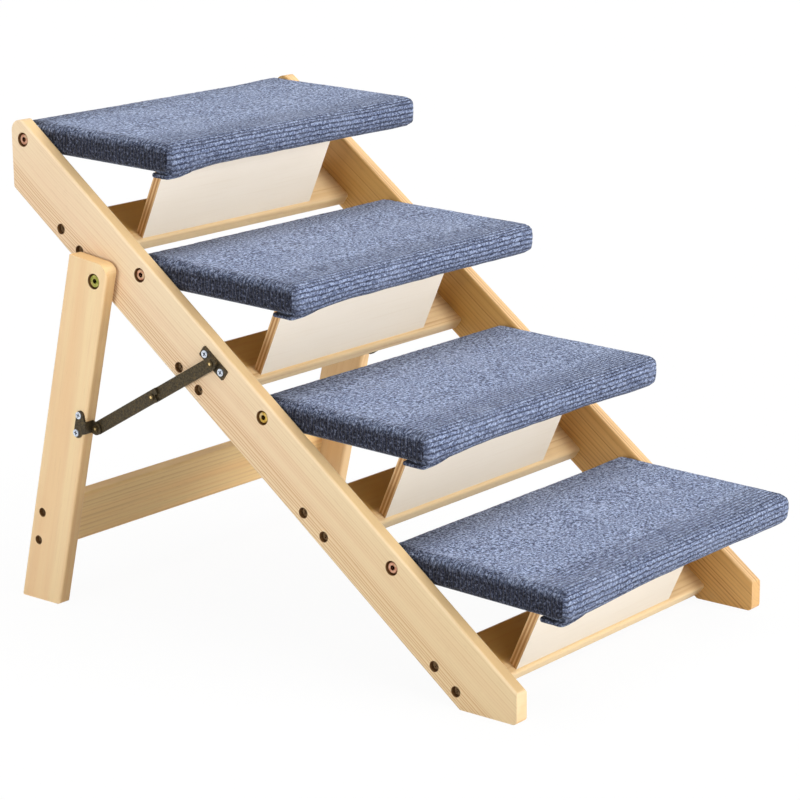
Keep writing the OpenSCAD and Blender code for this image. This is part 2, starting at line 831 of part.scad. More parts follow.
module mid_rivet_outer()
    color(brass) stay_bar_frame() translate([0, bar_long, 0]) {
        rod(lower_in, lower_out, rivet_r);
        rod(lower_out, lower_out + rivet_head_high, rivet_head_r);
    }

module stay_mid_rivet_inner_right() mid_rivet_inner();

module stay_mid_rivet_inner_left() left() mid_rivet_inner();

module stay_mid_rivet_outer_right() mid_rivet_outer();

module stay_mid_rivet_outer_left() left() mid_rivet_outer();

// Numbered sub-parts, counted from the lowest tread
module slat_1() slat(0);
module slat_2() slat(1);
module slat_3() slat(2);
module slat_4() slat(3);

module tread_board_1() tread_board(0);
module tread_board_2() tread_board(1);
module tread_board_3() tread_board(2);
module tread_board_4() tread_board(3);

module tread_carpet_1() tread_carpet(0);
module tread_carpet_2() tread_carpet(1);
module tread_carpet_3() tread_carpet(2);
module tread_carpet_4() tread_carpet(3);

module tread_bolts_1() tread_bolts(0);
module tread_bolts_2() tread_bolts(1);
module tread_bolts_3() tread_bolts(2);
module tread_bolts_4() tread_bolts(3);

module tread_inserts_1() tread_inserts(0);
module tread_inserts_2() tread_inserts(1);
module tread_inserts_3() tread_inserts(2);
module tread_inserts_4() tread_inserts(3);

module prop_hinge_upper_1() prop_hinge_upper(0);
module prop_hinge_upper_2() prop_hinge_upper(1);
module prop_hinge_upper_3() prop_hinge_upper(2);
module prop_hinge_upper_4() prop_hinge_upper(3);

module prop_hinge_lower_1() prop_hinge_lower(0);
module prop_hinge_lower_2() prop_hinge_lower(1);
module prop_hinge_lower_3() prop_hinge_lower(2);
module prop_hinge_lower_4() prop_hinge_lower(3);

module prop_panel_1() prop_panel(0);
module prop_panel_2() prop_panel(1);
module prop_panel_3() prop_panel(2);
module prop_panel_4() prop_panel(3);

// Assembly
stringer_left();
stringer_right();
slat_1();
slat_2();
slat_3();
slat_4();
slat_screws();
tread_washers();
leg_pivot_bolts();
leg_pivot_inserts();
leg_pivot_washers();
stay_stringer_bracket_left();
stay_stringer_bracket_right();
stringer_bracket_screws();
stay_upper_rivets();
tread_board_1();
tread_carpet_1();
tread_bolts_1();
tread_inserts_1();
prop_hinge_upper_1();
prop_panel_1();
prop_hinge_lower_1();
tread_board_2();
tread_carpet_2();
tread_bolts_2();
tread_inserts_2();
prop_hinge_upper_2();
prop_panel_2();
prop_hinge_lower_2();
tread_board_3();
tread_carpet_3();
tread_bolts_3();
tread_inserts_3();
prop_hinge_upper_3();
prop_panel_3();
prop_hinge_lower_3();
tread_board_4();
tread_carpet_4();
tread_bolts_4();
tread_inserts_4();
prop_hinge_upper_4();
prop_panel_4();
prop_hinge_lower_4();
leg_left();
leg_right();
leg_crossbar();
crossbar_screws();
stay_leg_bracket_left();
stay_leg_bracket_right();
leg_bracket_screws();
stay_lower_rivets();
stay_upper_bar_left();
stay_upper_bar_right();
stay_mid_rivet_inner_left();
stay_mid_rivet_inner_right();
stay_lower_bar_left();
stay_lower_bar_right();
stay_mid_rivet_outer_left();
stay_mid_rivet_outer_right();
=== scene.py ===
import json
import math

import bpy
import numpy as np
from mathutils import Matrix, Vector, noise


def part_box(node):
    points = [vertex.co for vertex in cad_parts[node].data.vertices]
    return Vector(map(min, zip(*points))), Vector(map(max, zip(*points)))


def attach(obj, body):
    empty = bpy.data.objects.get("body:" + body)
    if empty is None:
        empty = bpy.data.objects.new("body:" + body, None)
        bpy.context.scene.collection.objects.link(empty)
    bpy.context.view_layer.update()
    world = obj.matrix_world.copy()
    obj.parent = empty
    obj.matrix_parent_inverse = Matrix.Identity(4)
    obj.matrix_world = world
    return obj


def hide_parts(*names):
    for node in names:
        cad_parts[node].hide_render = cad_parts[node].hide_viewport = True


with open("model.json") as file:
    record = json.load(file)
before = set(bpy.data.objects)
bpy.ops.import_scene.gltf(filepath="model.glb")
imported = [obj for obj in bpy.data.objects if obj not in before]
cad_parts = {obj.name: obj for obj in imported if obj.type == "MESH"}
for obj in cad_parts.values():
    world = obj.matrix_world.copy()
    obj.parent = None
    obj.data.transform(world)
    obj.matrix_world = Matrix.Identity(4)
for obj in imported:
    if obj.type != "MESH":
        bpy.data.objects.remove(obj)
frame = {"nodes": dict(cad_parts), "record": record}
nodes = frame["nodes"]
joints = {j["name"]: j for j in frame["record"]["behaviour"]["joints"]}
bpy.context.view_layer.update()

# Sizes in metres, as the source has them
SLOPE = math.radians(36.96)
TREAD_DIP = math.radians(1.7)
PROP_LEAN = math.radians(24.4)
LEG_LEAN = math.radians(13.8)
TREADS = (1, 2, 3, 4)
# The bolts along a side board: their distance, the first one's from the heel, and its height over the edge
SPACING = 0.180
FIRST_PIVOT = 0.1221
PIVOT_HIGH = 0.0461
# Radii of the holes for the heads of the tread bolts and of the leg bolts
TREAD_SINK = 0.0064
LEG_SINK = 0.007
# A slat: how far down the slope from the bolt its lower edge lies, its width, its middle over the side
# board's edge, half the distance of its two screws, and the radius of their holes
SLAT_LEAD = 0.1224
SLAT_WIDE = 0.05
SLAT_MID = 0.0112
SLAT_SCREW = 0.0144
SLAT_HOLE = 0.0047
# A tread with its carpet: how far it reaches before and behind its bolts, half its thickness and width, and
# the radii of its front and back edges
REACH = 0.168
TAIL = 0.015
HALF_THICK = 0.0132
HALF_WIDE = 0.1725
NOSE_R = 0.008
TAIL_R = 0.005
# Half the thickness of the board in it, the width of a hem, and how far its cut edge reaches into the board
BOARD_HALF = 0.009
HEM = 0.0242
HEM_INTO = 0.0003
PROP_THICK = 0.009


def joint_place(name):
    """Where the record has the joint."""
    return Vector(joints[name]["pos_m"])


PIVOTS = {k: joint_place(f"tread_{k}_tilt") for k in TREADS}
LEG_PIVOT = joint_place("leg_fold")
HEEL_Y = PIVOTS[1].y - FIRST_PIVOT * math.cos(SLOPE) + PIVOT_HIGH * math.sin(SLOPE)


def srgb(r, g, b):
    """A colour of 0 to 255 per channel as shader sockets take it."""

    def linear(c):
        c = c / 255
        return c / 12.92 if c <= 0.04045 else ((c + 0.055) / 1.055) ** 2.4

    return (linear(r), linear(g), linear(b), 1.0)


# Materials
class Tree:
    """Builds a node tree with short calls; every call gives back an output socket."""

    def __init__(self, name):
        self.mat = bpy.data.materials.new(name)
        self.mat.use_nodes = True
        self.nt = self.mat.node_tree
        self.nt.nodes.clear()
        self.out = self.nt.nodes.new("ShaderNodeOutputMaterial")
        self.coord = self.nt.nodes.new("ShaderNodeTexCoord")

    def node(self, kind, **props):
        n = self.nt.nodes.new(kind)
        for k, v in props.items():
            setattr(n, k, v)
        return n

    def put(self, socket, value):
        if isinstance(value, bpy.types.NodeSocket):
            self.nt.links.new(value, socket)
        elif value is not None:
            socket.default_value = value

    def math(self, op, a, b=None, c=None, clamp=False):
        n = self.node("ShaderNodeMath", operation=op, use_clamp=clamp)
        for s, v in zip(n.inputs, (a, b, c)):
            self.put(s, v)
        return n.outputs[0]

    def times(self, a, b):
        return self.math("MULTIPLY", a, b)

    def plus(self, a, b):
        return self.math("ADD", a, b)

    def minus(self, a, b):
        return self.math("SUBTRACT", a, b)

    def length(self, a, b):
        """The length of the flat vector (a, b)."""
        return self.math("SQRT", self.plus(self.times(a, a), self.times(b, b)))

    def split(self, v):
        n = self.node("ShaderNodeSeparateXYZ")
        self.put(n.inputs[0], v)
        return n.outputs

    def join(self, x, y, z):
        n = self.node("ShaderNodeCombineXYZ")
        for s, v in zip(n.inputs, (x, y, z)):
            self.put(s, v)
        return n.outputs[0]

    def place(self, v, move=(0, 0, 0), turn=(0, 0, 0), scale=(1, 1, 1)):
        """Moves by minus move, then turns, then scales."""
        moved = self.node("ShaderNodeVectorMath", operation="SUBTRACT")
        self.put(moved.inputs[0], v)
        self.put(moved.inputs[1], tuple(move))
        n = self.node("ShaderNodeMapping", vector_type="POINT")
        self.put(n.inputs["Vector"], moved.outputs[0])
        n.inputs["Rotation"].default_value = turn
        n.inputs["Scale"].default_value = scale
        return n.outputs[0]

    def noise(self, v, scale, detail=3.0, rough=0.5):
        n = self.node("ShaderNodeTexNoise")
        self.put(n.inputs["Vector"], v)
        n.inputs["Scale"].default_value = scale
        n.inputs["Detail"].default_value = detail
        n.inputs["Roughness"].default_value = rough
        return n.outputs["Fac"]

    def ramp(self, fac, stops):
        n = self.node("ShaderNodeValToRGB")
        n.color_ramp.interpolation = "LINEAR"
        e = n.color_ramp.elements
        while len(e) < len(stops):
            e.new(0.5)
        for el, (p, c) in zip(e, stops):
            el.position = p
            el.color = (c, c, c, 1) if isinstance(c, (int, float)) else c
        self.put(n.inputs[0], fac)
        return n.outputs[0]

    def span(self, v, a, b, c=0.0, d=1.0):
        """Goes smoothly from c to d while v goes from a to b."""
        n = self.node("ShaderNodeMapRange", interpolation_type="SMOOTHSTEP")
        for s, x in zip(n.inputs, (v, a, b, c, d)):
            self.put(s, x)
        return n.outputs[0]

    def mix(self, fac, a, b):
        n = self.node("ShaderNodeMix", data_type="RGBA")
        self.put(n.inputs[0], fac)
        # of a colour mix, inputs 6 and 7 and output 2 are the colours
        self.put(n.inputs[6], a)
        self.put(n.inputs[7], b)
        return n.outputs[2]

    def bump(self, height, deep, strength=1.0, normal=None):
        n = self.node("ShaderNodeBump")
        n.inputs["Strength"].default_value = strength
        n.inputs["Distance"].default_value = deep
        self.put(n.inputs["Height"], height)
        if normal is not None:
            self.put(n.inputs["Normal"], normal)
        return n.outputs[0]

    def finish(self, color, rough, bump=None, **fixed):
        p = self.node("ShaderNodeBsdfPrincipled")
        self.put(p.inputs["Base Color"], color)
        self.put(p.inputs["Roughness"], rough)
        if bump is not None:
            self.put(p.inputs["Normal"], bump)
        for k, v in fixed.items():
            p.inputs[k.replace("_", " ")].default_value = v
        self.nt.links.new(p.outputs[0], self.out.inputs[0])
        return self.mat


# The tones of the boards: light and warm wood, late wood of the rings, dark fibres, cut ends, and where given
# the faces along the board's own Z (edge) or its own Y (rim). The edge tone is painted shade where it is
# darker than light and painted light where it is paler, as in HONEY; the rim tone is painted light
PALE = dict(
    light=srgb(244, 221, 185),
    warm=srgb(239, 208, 173),
    late=srgb(200, 150, 98),
    dark=srgb(172, 120, 72),
    end=srgb(238, 196, 136),
    edge=srgb(216, 184, 134),
)
LEG = dict(
    light=srgb(248, 221, 174),
    warm=srgb(245, 211, 163),
    late=srgb(222, 164, 116),
    dark=srgb(172, 120, 72),
    end=srgb(238, 196, 136),
    edge=srgb(230, 194, 140),
)
HONEY = dict(
    light=srgb(222, 176, 108),
    warm=srgb(214, 164, 94),
    late=srgb(152, 98, 44),
    dark=srgb(132, 84, 36),
    end=srgb(234, 188, 134),
    edge=srgb(238, 198, 146),
)
SLAT = dict(
    light=srgb(250, 218, 168),
    warm=srgb(244, 208, 152),
    late=srgb(200, 146, 86),
    dark=srgb(160, 110, 60),
    end=srgb(232, 180, 114),
    rim=srgb(255, 230, 184),
)
SAND = dict(
    light=srgb(255, 225, 166),
    warm=srgb(255, 214, 152),
    late=srgb(206, 156, 100),
    dark=srgb(160, 110, 62),
    end=srgb(236, 190, 130),
)
RIGHT_LEG = dict(
    light=srgb(228, 194, 146),
    warm=srgb(226, 188, 138),
    late=srgb(206, 156, 104),
    dark=srgb(160, 110, 62),
    end=srgb(236, 190, 130),
)
TAN = srgb(234, 208, 160)
# The tone of the painted shade on the slats and the right side board
PAINTED_SHADE_TONE = srgb(196, 150, 68)
# Painted shade inside the holes, dark and pale
HOLE_SHADE_DARK = srgb(88, 56, 28)
HOLE_SHADE_PALE = srgb(150, 112, 70)
# How far the rings of a log wander, how much it narrows along its length, and the soft rim of a hole
LOG_BEND = 0.016
LOG_TAPER = 0.014
HOLE_SOFT = 0.0003
HOLE_RIM = 0.0001
# How deep the relief of each material is
PINE_DEEP = 0.00012
PLY_DEEP = 0.0001
FELT_DEEP = 0.0012
METAL_DEEP = 0.00004


def pine(
    name, tones, at, turn=0.0, across=False, heart=(0.0, -0.25), ring=0.003, lines=0.5,
    low_band=0.0, fade=(0.0, 1.0), tanned=0.0, seed=0.0, holes=(), deep=None,
):
    """Pine board. at is a point of the board; the grain runs along +Y turned about X by turn, or along X.

    heart is where the log's middle lies across the board, ring the width of one year's growth and lines
    the strength of the late wood. fade is (what is left of that at the far end, length), low_band the
    height above the lower edge where every ring shows, and tanned the share of TAN at the near end. deep
    gives the share of painted shade, laid on in a darker tone.
    """
    t = Tree(name)
    here = t.coord.outputs["Object"]
    x, y, z = t.split(t.place(here, move=at, turn=(-turn, 0, 0)))
    nx, ny, nz = t.split(t.place(t.coord.outputs["Normal"], turn=(-turn, 0, 0)))
    nx, ny, nz = (t.math("ABSOLUTE", c) for c in (nx, ny, nz))
    u, v, w = (x, y, z) if across else (y, x, z)
    end_way = nx if across else ny

    def grain(su, sv, detail=2.0, rough=0.5, shift=0.0):
        depth = t.math("MULTIPLY_ADD", w, sv, seed + shift)
        return t.noise(t.join(t.times(u, su), t.times(v, sv), depth), 1.0, detail, rough)

    bend = t.times(t.minus(grain(3.5, 10, 2.0), 0.5), LOG_BEND)
    dv = t.minus(v, heart[0])
    dw = t.plus(t.minus(w, heart[1]), t.math("MULTIPLY_ADD", u, LOG_TAPER, bend))
    far = t.length(dv, dw)
    beat = t.noise(t.join(t.times(far, 120), seed, 0.0), 1.0, 1.0)
    phase = t.plus(t.math("DIVIDE", far, ring), t.times(beat, 2.0))
    # early wood darkens slowly into the narrow band of late wood, and each year starts anew
    year = [(0.0, 0.25), (0.3, 0.0), (0.62, 0.35), (0.85, 1.0), (0.93, 0.85), (1.0, 0.25)]
    late = t.ramp(t.math("FRACT", phase), year)
    each = t.noise(t.join(t.math("FLOOR", phase), seed, 1.0), 0.73, 0.0)
    patch = grain(6, 40, 2.0, 0.5, 2.0)
    uneven = t.times(t.span(patch, 0.3, 0.7, 0.35, 1.0), t.span(each, 0.3, 0.7, 0.3, 1.0))
    amount = t.times(late, uneven)
    strong = t.span(u, 0.0, fade[1], lines, lines * fade[0])
    fibre = grain(20, 900, 3.0, 0.6)
    streak = grain(2.2, 60, 3.0, 0.55, 5.0)
    cloud = grain(7, 12, 2.0, 0.5, 9.0)
    tone = t.mix(t.span(streak, 0.4, 0.7), tones["light"], tones["warm"])
    tone = t.mix(t.times(t.span(cloud, 0.45, 0.75), 0.35), tone, tones["warm"])
    if tanned:
        tone = t.mix(t.span(u, 0.0, fade[1], tanned, 0.0), tone, TAN)
    # painted shade in its darker tone where deep asks for it
    if deep:
        tone = t.mix(deep(t, u, v), tone, PAINTED_SHADE_TONE)
    # edge and rim recolour narrow faces by the way they face: painted shade where darker, painted light where
    # paler
    if "edge" in tones:
        tone = t.mix(t.span(nz, 0.55, 0.9, 0.0, 0.9), tone, tones["edge"])
    if "rim" in tones:
        tone = t.mix(t.span(ny, 0.55, 0.9, 0.0, 0.8), tone, tones["rim"])
    share = t.math("MULTIPLY", amount, strong, clamp=True)
    if low_band:
        low = t.span(w, low_band * 1.4, low_band * 0.8, 0.0, 0.8)
        share = t.math("MAXIMUM", share, t.times(late, low))
    tone = t.mix(share, tone, tones["late"])
    tone = t.mix(t.times(t.span(fibre, 0.5, 0.85), 0.14), tone, tones["dark"])
    fleck = grain(90, 1400, 1.0, 0.5, 3.0)
    tone = t.mix(t.times(t.span(fleck, 0.66, 0.78), 0.2), tone, tones["dark"])
    tone = t.mix(t.times(t.span(end_way, 0.55, 0.95), 0.75), tone, tones["end"])
    # the eased edges are paler in places: partly rubbed wear, partly a painted highlight where they turn
    flat = t.math("MAXIMUM", nx, t.math("MAXIMUM", ny, nz))
    touched = t.span(grain(30, 90, 2.0, 0.5, 7.0), 0.3, 0.6, 0.3, 0.8)
    worn_and_highlit = t.times(t.span(flat, 0.985, 0.86), touched)
    tone = t.mix(t.times(worn_and_highlit, 0.5), tone, tones["light"])
    # the holes are darker brown inside: painted shade in the recess
    if holes:
        inside = t.mix(t.noise(here, 420.0, 2.0), HOLE_SHADE_DARK, HOLE_SHADE_PALE)
        tone = t.mix(hole_mask(t, here, holes), tone, inside)
    height = t.minus(t.times(fibre, 0.6), t.times(amount, 0.5))
    rough = t.math("MULTIPLY_ADD", fibre, 0.14, 0.4)
    return t.finish(tone, rough, t.bump(height, PINE_DEEP, 0.5), Specular_IOR_Level=0.35)


def disc(t, a, b, r):
    """1 inside a circle of radius r round the origin of (a, b)."""
    return t.span(t.length(a, b), r + HOLE_SOFT + HOLE_RIM, r + HOLE_RIM)


def hole_mask(t, here, holes):
    """1 inside round holes along X. Each hole is (y, z, radius) or a function of the tree and coordinate."""
    total = None
    for h in holes:
        if callable(h):
            m = h(t, here)
        else:
            _, y, z = t.split(here)
            m = disc(t, t.minus(y, h[0]), t.minus(z, h[1]), h[2])
        total = m if total is None else t.math("MAXIMUM", total, m)
    return total


def row_of_holes(t, here):
    """The side boards' repeating holes: one bolt and two slat screws to each tread."""
    _, s, n = t.split(t.place(here, move=(0, HEEL_Y, 0), turn=(-SLOPE, 0, 0)))
    turned = t.plus(t.minus(s, FIRST_PIVOT), SPACING / 2)
    # the row repeats: each cell is one tread's share of the board, counted from the bolt
    cell = t.minus(t.math("FLOORED_MODULO", turned, SPACING), SPACING / 2)
    bolt = disc(t, cell, t.minus(n, PIVOT_HIGH), TREAD_SINK)
    slat_mid = t.plus(s, SLAT_LEAD - SLAT_WIDE / 2 - FIRST_PIVOT + SPACING / 2)
    cell = t.minus(t.math("FLOORED_MODULO", slat_mid, SPACING), SPACING / 2)
    pair = t.minus(t.math("ABSOLUTE", cell), SLAT_SCREW)
    screws = disc(t, pair, t.minus(n, SLAT_MID), SLAT_HOLE)
    return t.math("MAXIMUM", bolt, screws)


# The plies: how many, and how far they wander
PLIES = 5
PLY_WAVE = 0.0004


def plywood(name, k):
    """The board of prop k: plies on its cut edges, and a pale smooth face."""
    t = Tree(name)
    here = t.coord.outputs["Object"]
    x, y, z = t.split(t.place(here, move=tuple(PIVOTS[k]), turn=(-PROP_LEAN, 0, 0)))
    _, ny, _ = t.split(t.place(t.coord.outputs["Normal"], turn=(-PROP_LEAN, 0, 0)))
    face = t.span(t.math("ABSOLUTE", ny), 0.6, 0.8)
    deep = t.minus(y, prop_front(k))
    wave = t.noise(t.join(t.times(x, 9), y, t.times(z, 40)), 1.0, 2.0)
    deep = t.plus(deep, t.times(t.minus(wave, 0.5), PLY_WAVE))
    layer = t.math("DIVIDE", deep, PROP_THICK / PLIES)
    odd = t.math("FLOORED_MODULO", t.math("FLOOR", layer), 2.0)
    grain = t.noise(t.join(t.times(x, 260), t.times(y, 1200), t.times(z, 60)), 1.0, 3.0, 0.6)
    light = t.mix(grain, srgb(222, 184, 132), srgb(236, 206, 160))
    dark = t.mix(grain, srgb(178, 130, 80), srgb(202, 156, 104))
    edge = t.mix(odd, light, dark)
    glue = t.span(t.math("ABSOLUTE", t.minus(t.math("FRACT", layer), 0.5)), 0.44, 0.49)
    edge = t.mix(t.times(glue, 0.4), edge, srgb(126, 86, 48))
    cloud = t.noise(t.join(t.times(x, 5), t.times(z, 16), float(k)), 1.0, 3.0, 0.5)
    line = t.noise(t.join(t.times(x, 12), t.times(z, 420), float(k)), 1.0, 4.0, 0.6)
    skin = t.mix(t.span(cloud, 0.3, 0.7), srgb(240, 230, 215), srgb(236, 225, 208))
    skin = t.mix(t.times(t.span(line, 0.5, 0.78), 0.18), skin, srgb(220, 202, 176))
    color = t.mix(face, edge, skin)
    height = t.plus(t.times(line, 0.5), t.times(grain, 0.5))
    rough = t.plus(t.times(line, 0.12), 0.5)
    return t.finish(color, rough, t.bump(height, PLY_DEEP, 0.5))


def prop_front(k):
    """Distance along the prop's own +Y from the tread pivot to its front face."""
    lo, hi = (Vector(c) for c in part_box(f"prop_panel_{k}"))
    # the front face passes through the upper front corner, at the lowest y and highest z
    top = Vector((0, lo.y, hi.z)) - PIVOTS[k]
    return top.y * math.cos(PROP_LEAN) + top.z * math.sin(PROP_LEAN)


# The felt: the distance between ribs, the length of a loop, and the tones from the valleys to the tips
RIB = 0.0041
LOOP = 0.0052
FELT_LIT = [
    (0.34, srgb(34, 40, 62)),
    (0.43, srgb(80, 91, 122)),
    (0.52, srgb(139, 154, 188)),
    (0.62, srgb(192, 206, 236)),
]
# The same tones with painted shade, for where end_shade is high
FELT_PAINTED_SHADE = [
    (0.30, srgb(12, 13, 19)),
    (0.44, srgb(28, 30, 40)),
    (0.56, srgb(58, 62, 78)),
    (0.70, srgb(112, 120, 144)),
]
# The even tone of the standing ribs, lit and with painted shade
RIB_LIT, RIB_PAINTED_SHADE = srgb(118, 131, 164), srgb(44, 48, 62)
FELT_GREY, FELT_WORN = srgb(120, 124, 140), srgb(178, 188, 212)
# Dark hairs in the felt, and the painted shade in the grooves between the ribs
FELT_HAIR, GROOVE_SHADE = srgb(30, 34, 54), srgb(34, 39, 60)


def carpet(name, seed):
    """Ribbed heather felt. The UV map is in metres: U along the ribs, V across them.

    The attribute rib_strength says how far the ribs stand out, and end_shade how much painted shade lies on
    the pile.
    """
    t = Tree(name)
    uv = t.node("ShaderNodeUVMap", uv_map="rib").outputs[0]
    here = t.coord.outputs["Object"]
    u, v, _ = t.split(uv)
    plush = t.node("ShaderNodeAttribute", attribute_name="rib_strength").outputs["Fac"]
    shade = t.node("ShaderNodeAttribute", attribute_name="end_shade").outputs["Fac"]
    wob = t.noise(t.join(t.times(u, 230), t.times(v, 190), seed), 1.0, 2.0, 0.6)
    drift = t.noise(t.join(t.times(u, 14), t.times(v, 20), seed + 5), 1.0, 1.0)
    row = t.math("DIVIDE", v, RIB)
    row = t.plus(row, t.times(t.minus(wob, 0.5), 0.75))
    row = t.plus(row, t.times(t.minus(drift, 0.5), 0.7))
    tri = t.math("ABSOLUTE", t.minus(t.math("FRACT", row), 0.5))
    crest = t.span(tri, 0.45, 0.27)
    line = t.math("FLOOR", row)
    along = t.plus(t.math("DIVIDE", u, LOOP), t.times(line, 0.618))
    along = t.plus(along, t.times(t.math("FRACT", row), 0.45))
    loop = t.noise(t.join(t.times(along, 1.6), t.times(line, 7.31), seed), 1.0, 1.0)
    bead = t.span(loop, 0.32, 0.5)
    speck = t.noise(here, 420.0, 2.0, 0.8)
    fluff = t.noise(here, 900.0, 2.0, 0.65)
    grey = t.noise(here, 240.0, 2.0, 0.6)
    # the felt's lit tones, turning into their painted-shade copy where end_shade is high
    top = t.ramp(speck, FELT_LIT)
    dim = t.ramp(speck, FELT_PAINTED_SHADE)
    base = t.mix(shade, top, dim)
    # where the ribs stand out, the pile is more even
    base = t.mix(t.span(plush, 0.6, 0.95, 0.0, 0.36), base, t.mix(shade, RIB_LIT, RIB_PAINTED_SHADE))
    lit = t.minus(1.0, shade)
    base = t.mix(t.times(t.span(grey, 0.52, 0.7), t.times(lit, 0.3)), base, FELT_GREY)
    base = t.mix(t.times(t.span(fluff, 0.56, 0.7), 0.55), base, FELT_HAIR)
    broken = t.noise(t.join(t.times(u, 260), t.times(v, 90), seed + 8), 1.0, 1.0)
    # painted shade in the grooves between the ribs
    groove_shade = t.minus(1.0, t.times(crest, t.math("MULTIPLY_ADD", bead, 0.2, 0.8)))
    groove_shade = t.times(groove_shade, t.span(broken, 0.3, 0.55, 0.6, 1.0))
    base = t.mix(t.times(groove_shade, t.times(plush, 0.92)), base, GROOVE_SHADE)
    worn = t.noise(here, 24.0, 3.0, 0.55)
    base = t.mix(t.times(t.span(worn, 0.4, 0.75), t.times(lit, 0.16)), base, FELT_WORN)
    beaded = t.times(crest, t.math("MULTIPLY_ADD", bead, 0.45, 0.55))
    ribs = t.times(beaded, t.math("MULTIPLY_ADD", plush, 0.85, 0.15))
    fine = t.plus(t.times(speck, 0.7), t.times(fluff, 0.3))
    normal = t.bump(fine, FELT_DEEP, 0.8, t.bump(ribs, FELT_DEEP, 0.9))
    return t.finish(base, 0.95, normal, Sheen_Weight=0.12, Sheen_Roughness=0.5, Specular_IOR_Level=0.1)


# How far below the face of a head the painted shade of a cut begins, and where it is whole
CUT_FROM = 0.00005
CUT_DEEP = 0.0002


def metal(
    name, light, dark, rough, spots=260.0, metallic=1.0, tint=None, turn=0.0,
    cores=(), core_r=0.0, core=None, level=None,
):
    """Plated steel with cloudy colour and fine turning marks.

    cores are the axes (y, z) round which another colour, core, shows out to core_r: painted shade in sockets
    and cut crosses, a painted glint on rivets. level is how far out from the middle plane the face of the
    head lies, where only what is cut into the face has that colour.
    """
    t = Tree(name)
    here = t.coord.outputs["Object"]
    cloud = t.noise(here, spots, 4.0, 0.6)
    fine = t.noise(t.place(here, turn=(-turn, 0, 0), scale=(1, 0.25, 1)), 3200.0, 2.0, 0.6)
    color = t.mix(t.span(cloud, 0.3, 0.7), light, dark)
    if tint:
        patch = t.span(t.noise(here, spots * 0.6, 2.0), 0.5, 0.65)
        color = t.mix(t.times(patch, 0.6), color, tint)
    x, y, z = t.split(here)
    for cy, cz in cores:
        inside = t.span(t.length(t.minus(y, cy), t.minus(z, cz)), core_r + HOLE_SOFT, core_r)
        if level:
            sunk = t.span(t.math("ABSOLUTE", x), level - CUT_FROM, level - CUT_DEEP)
            inside = t.times(inside, sunk)
        color = t.mix(inside, color, core)
    rough_n = t.plus(t.times(cloud, 0.25), rough - 0.1)
    return t.finish(color, rough_n, t.bump(fine, METAL_DEEP, 0.35), Metallic=metallic)


def use(node, mat):
    """Gives a piece of the pack its material."""
    mesh = nodes[node].data
    mesh.materials.clear()
    mesh.materials.append(mat)


# Materials of the pack's pieces
# A leg's holes are the pivot bolt's and two for crossbar screws, which lie CROSS_DROPS below the bolt along
# the leg and CROSS_BACK behind it
CROSS_BACK = 0.0234
CROSS_DROPS = (0.244, 0.2731)
CROSS_HOLE = 0.00415
leg_holes = [(LEG_PIVOT.y, LEG_PIVOT.z, LEG_SINK)]
for drop in CROSS_DROPS:
    y = LEG_PIVOT.y + CROSS_BACK * math.cos(LEG_LEAN) + drop * math.sin(LEG_LEAN)
    z = LEG_PIVOT.z + CROSS_BACK * math.sin(LEG_LEAN) - drop * math.cos(LEG_LEAN)
    leg_holes.append((y, z, CROSS_HOLE))

HEEL = (0.0, HEEL_Y, 0.0)
LEG_TURN = LEG_LEAN - math.pi / 2


# A slat's strip in front of the prop, which keeps the wood's own tone, and its soft edge. Behind it painted
# shade darkens the wood across the steps: where it sets in, where it is whole, and its share there
SLAT_STRIP = 0.014
STRIP_SOFT = 0.004
SHADE_FROM, SHADE_TO, SHADE_SHARE = 0.02, -0.1, 0.8
# Places along the right side board where the painted shade on its middle sets in and ends, and how dark that
# is
DEEP_START = (0.2, 0.36)
DEEP_END = (0.6, 0.5)
DEEP_SHARE = 0.42


def slat_painted_shade(t, u, v):
    """Painted shade on the slats' left part behind the props, darker than the rest."""
    strip = SLAT_STRIP - SLAT_LEAD
    behind = t.span(v, strip - STRIP_SOFT, strip + STRIP_SOFT)
    return t.times(behind, t.span(u, SHADE_FROM, SHADE_TO, 0.0, SHADE_SHARE))


def side_painted_shade(t, u, _):
    """Painted shade along the right side board's middle, which gives way to its own tone towards the top."""
    return t.times(t.span(u, *DEEP_START, 0.0, DEEP_SHARE), t.span(u, *DEEP_END))


def dress(node, mat_name, *args, **more):
    """Gives a board its own pine. The rest of the call is as in pine."""
    use(node, pine(mat_name, *args, **more))


dress(
    "stringer_left", "pine_side_left", PALE, HEEL, SLOPE, heart=(-0.181, -0.3), ring=0.0027, lines=0.42,
    low_band=0.021, fade=(0.7, 0.46), tanned=0.7, seed=3.1, holes=[row_of_holes],
)
dress(
    "stringer_right", "pine_side_right", HONEY, HEEL, SLOPE, deep=side_painted_shade, heart=(0.2, 0.075), ring=0.0031,
    lines=1.0, fade=(0.9, 0.5), seed=8.4, holes=[row_of_holes],
)
dress(
    "leg_left", "pine_leg_left", LEG, LEG_PIVOT, LEG_TURN, heart=(-0.26, 0.02), ring=0.0085, lines=0.75,
    fade=(1.2, 0.3), seed=7.7, holes=leg_holes,
)
dress(
    "leg_right", "pine_leg_right", RIGHT_LEG, LEG_PIVOT, LEG_TURN, heart=(0.24, 0.05), ring=0.006, lines=0.6,
    seed=12.2, holes=leg_holes,
)
for k in TREADS:
    at = (0.0, PIVOTS[k].y, PIVOTS[k].z)
    dress(
        f"slat_{k}", f"pine_slat_{k}", SLAT, at, SLOPE, across=True, heart=(-0.3 - 0.01 * k, 0.02),
        ring=0.0055, lines=0.6, seed=1.9 * k, deep=slat_painted_shade,
    )
    dress(
        f"tread_board_{k}", f"pine_tread_{k}", PALE, at, 0.0, across=True, heart=(-0.09, -0.2),
        ring=0.006, lines=0.5, seed=2.3 * k,
    )
    use(f"prop_panel_{k}", plywood(f"plywood_{k}", k))
dress(
    "leg_crossbar", "pine_crossbar", SAND, LEG_PIVOT, LEG_TURN, across=True, heart=(0.42, 0.0), ring=0.0045,
    lines=0.5, seed=5.5,
)
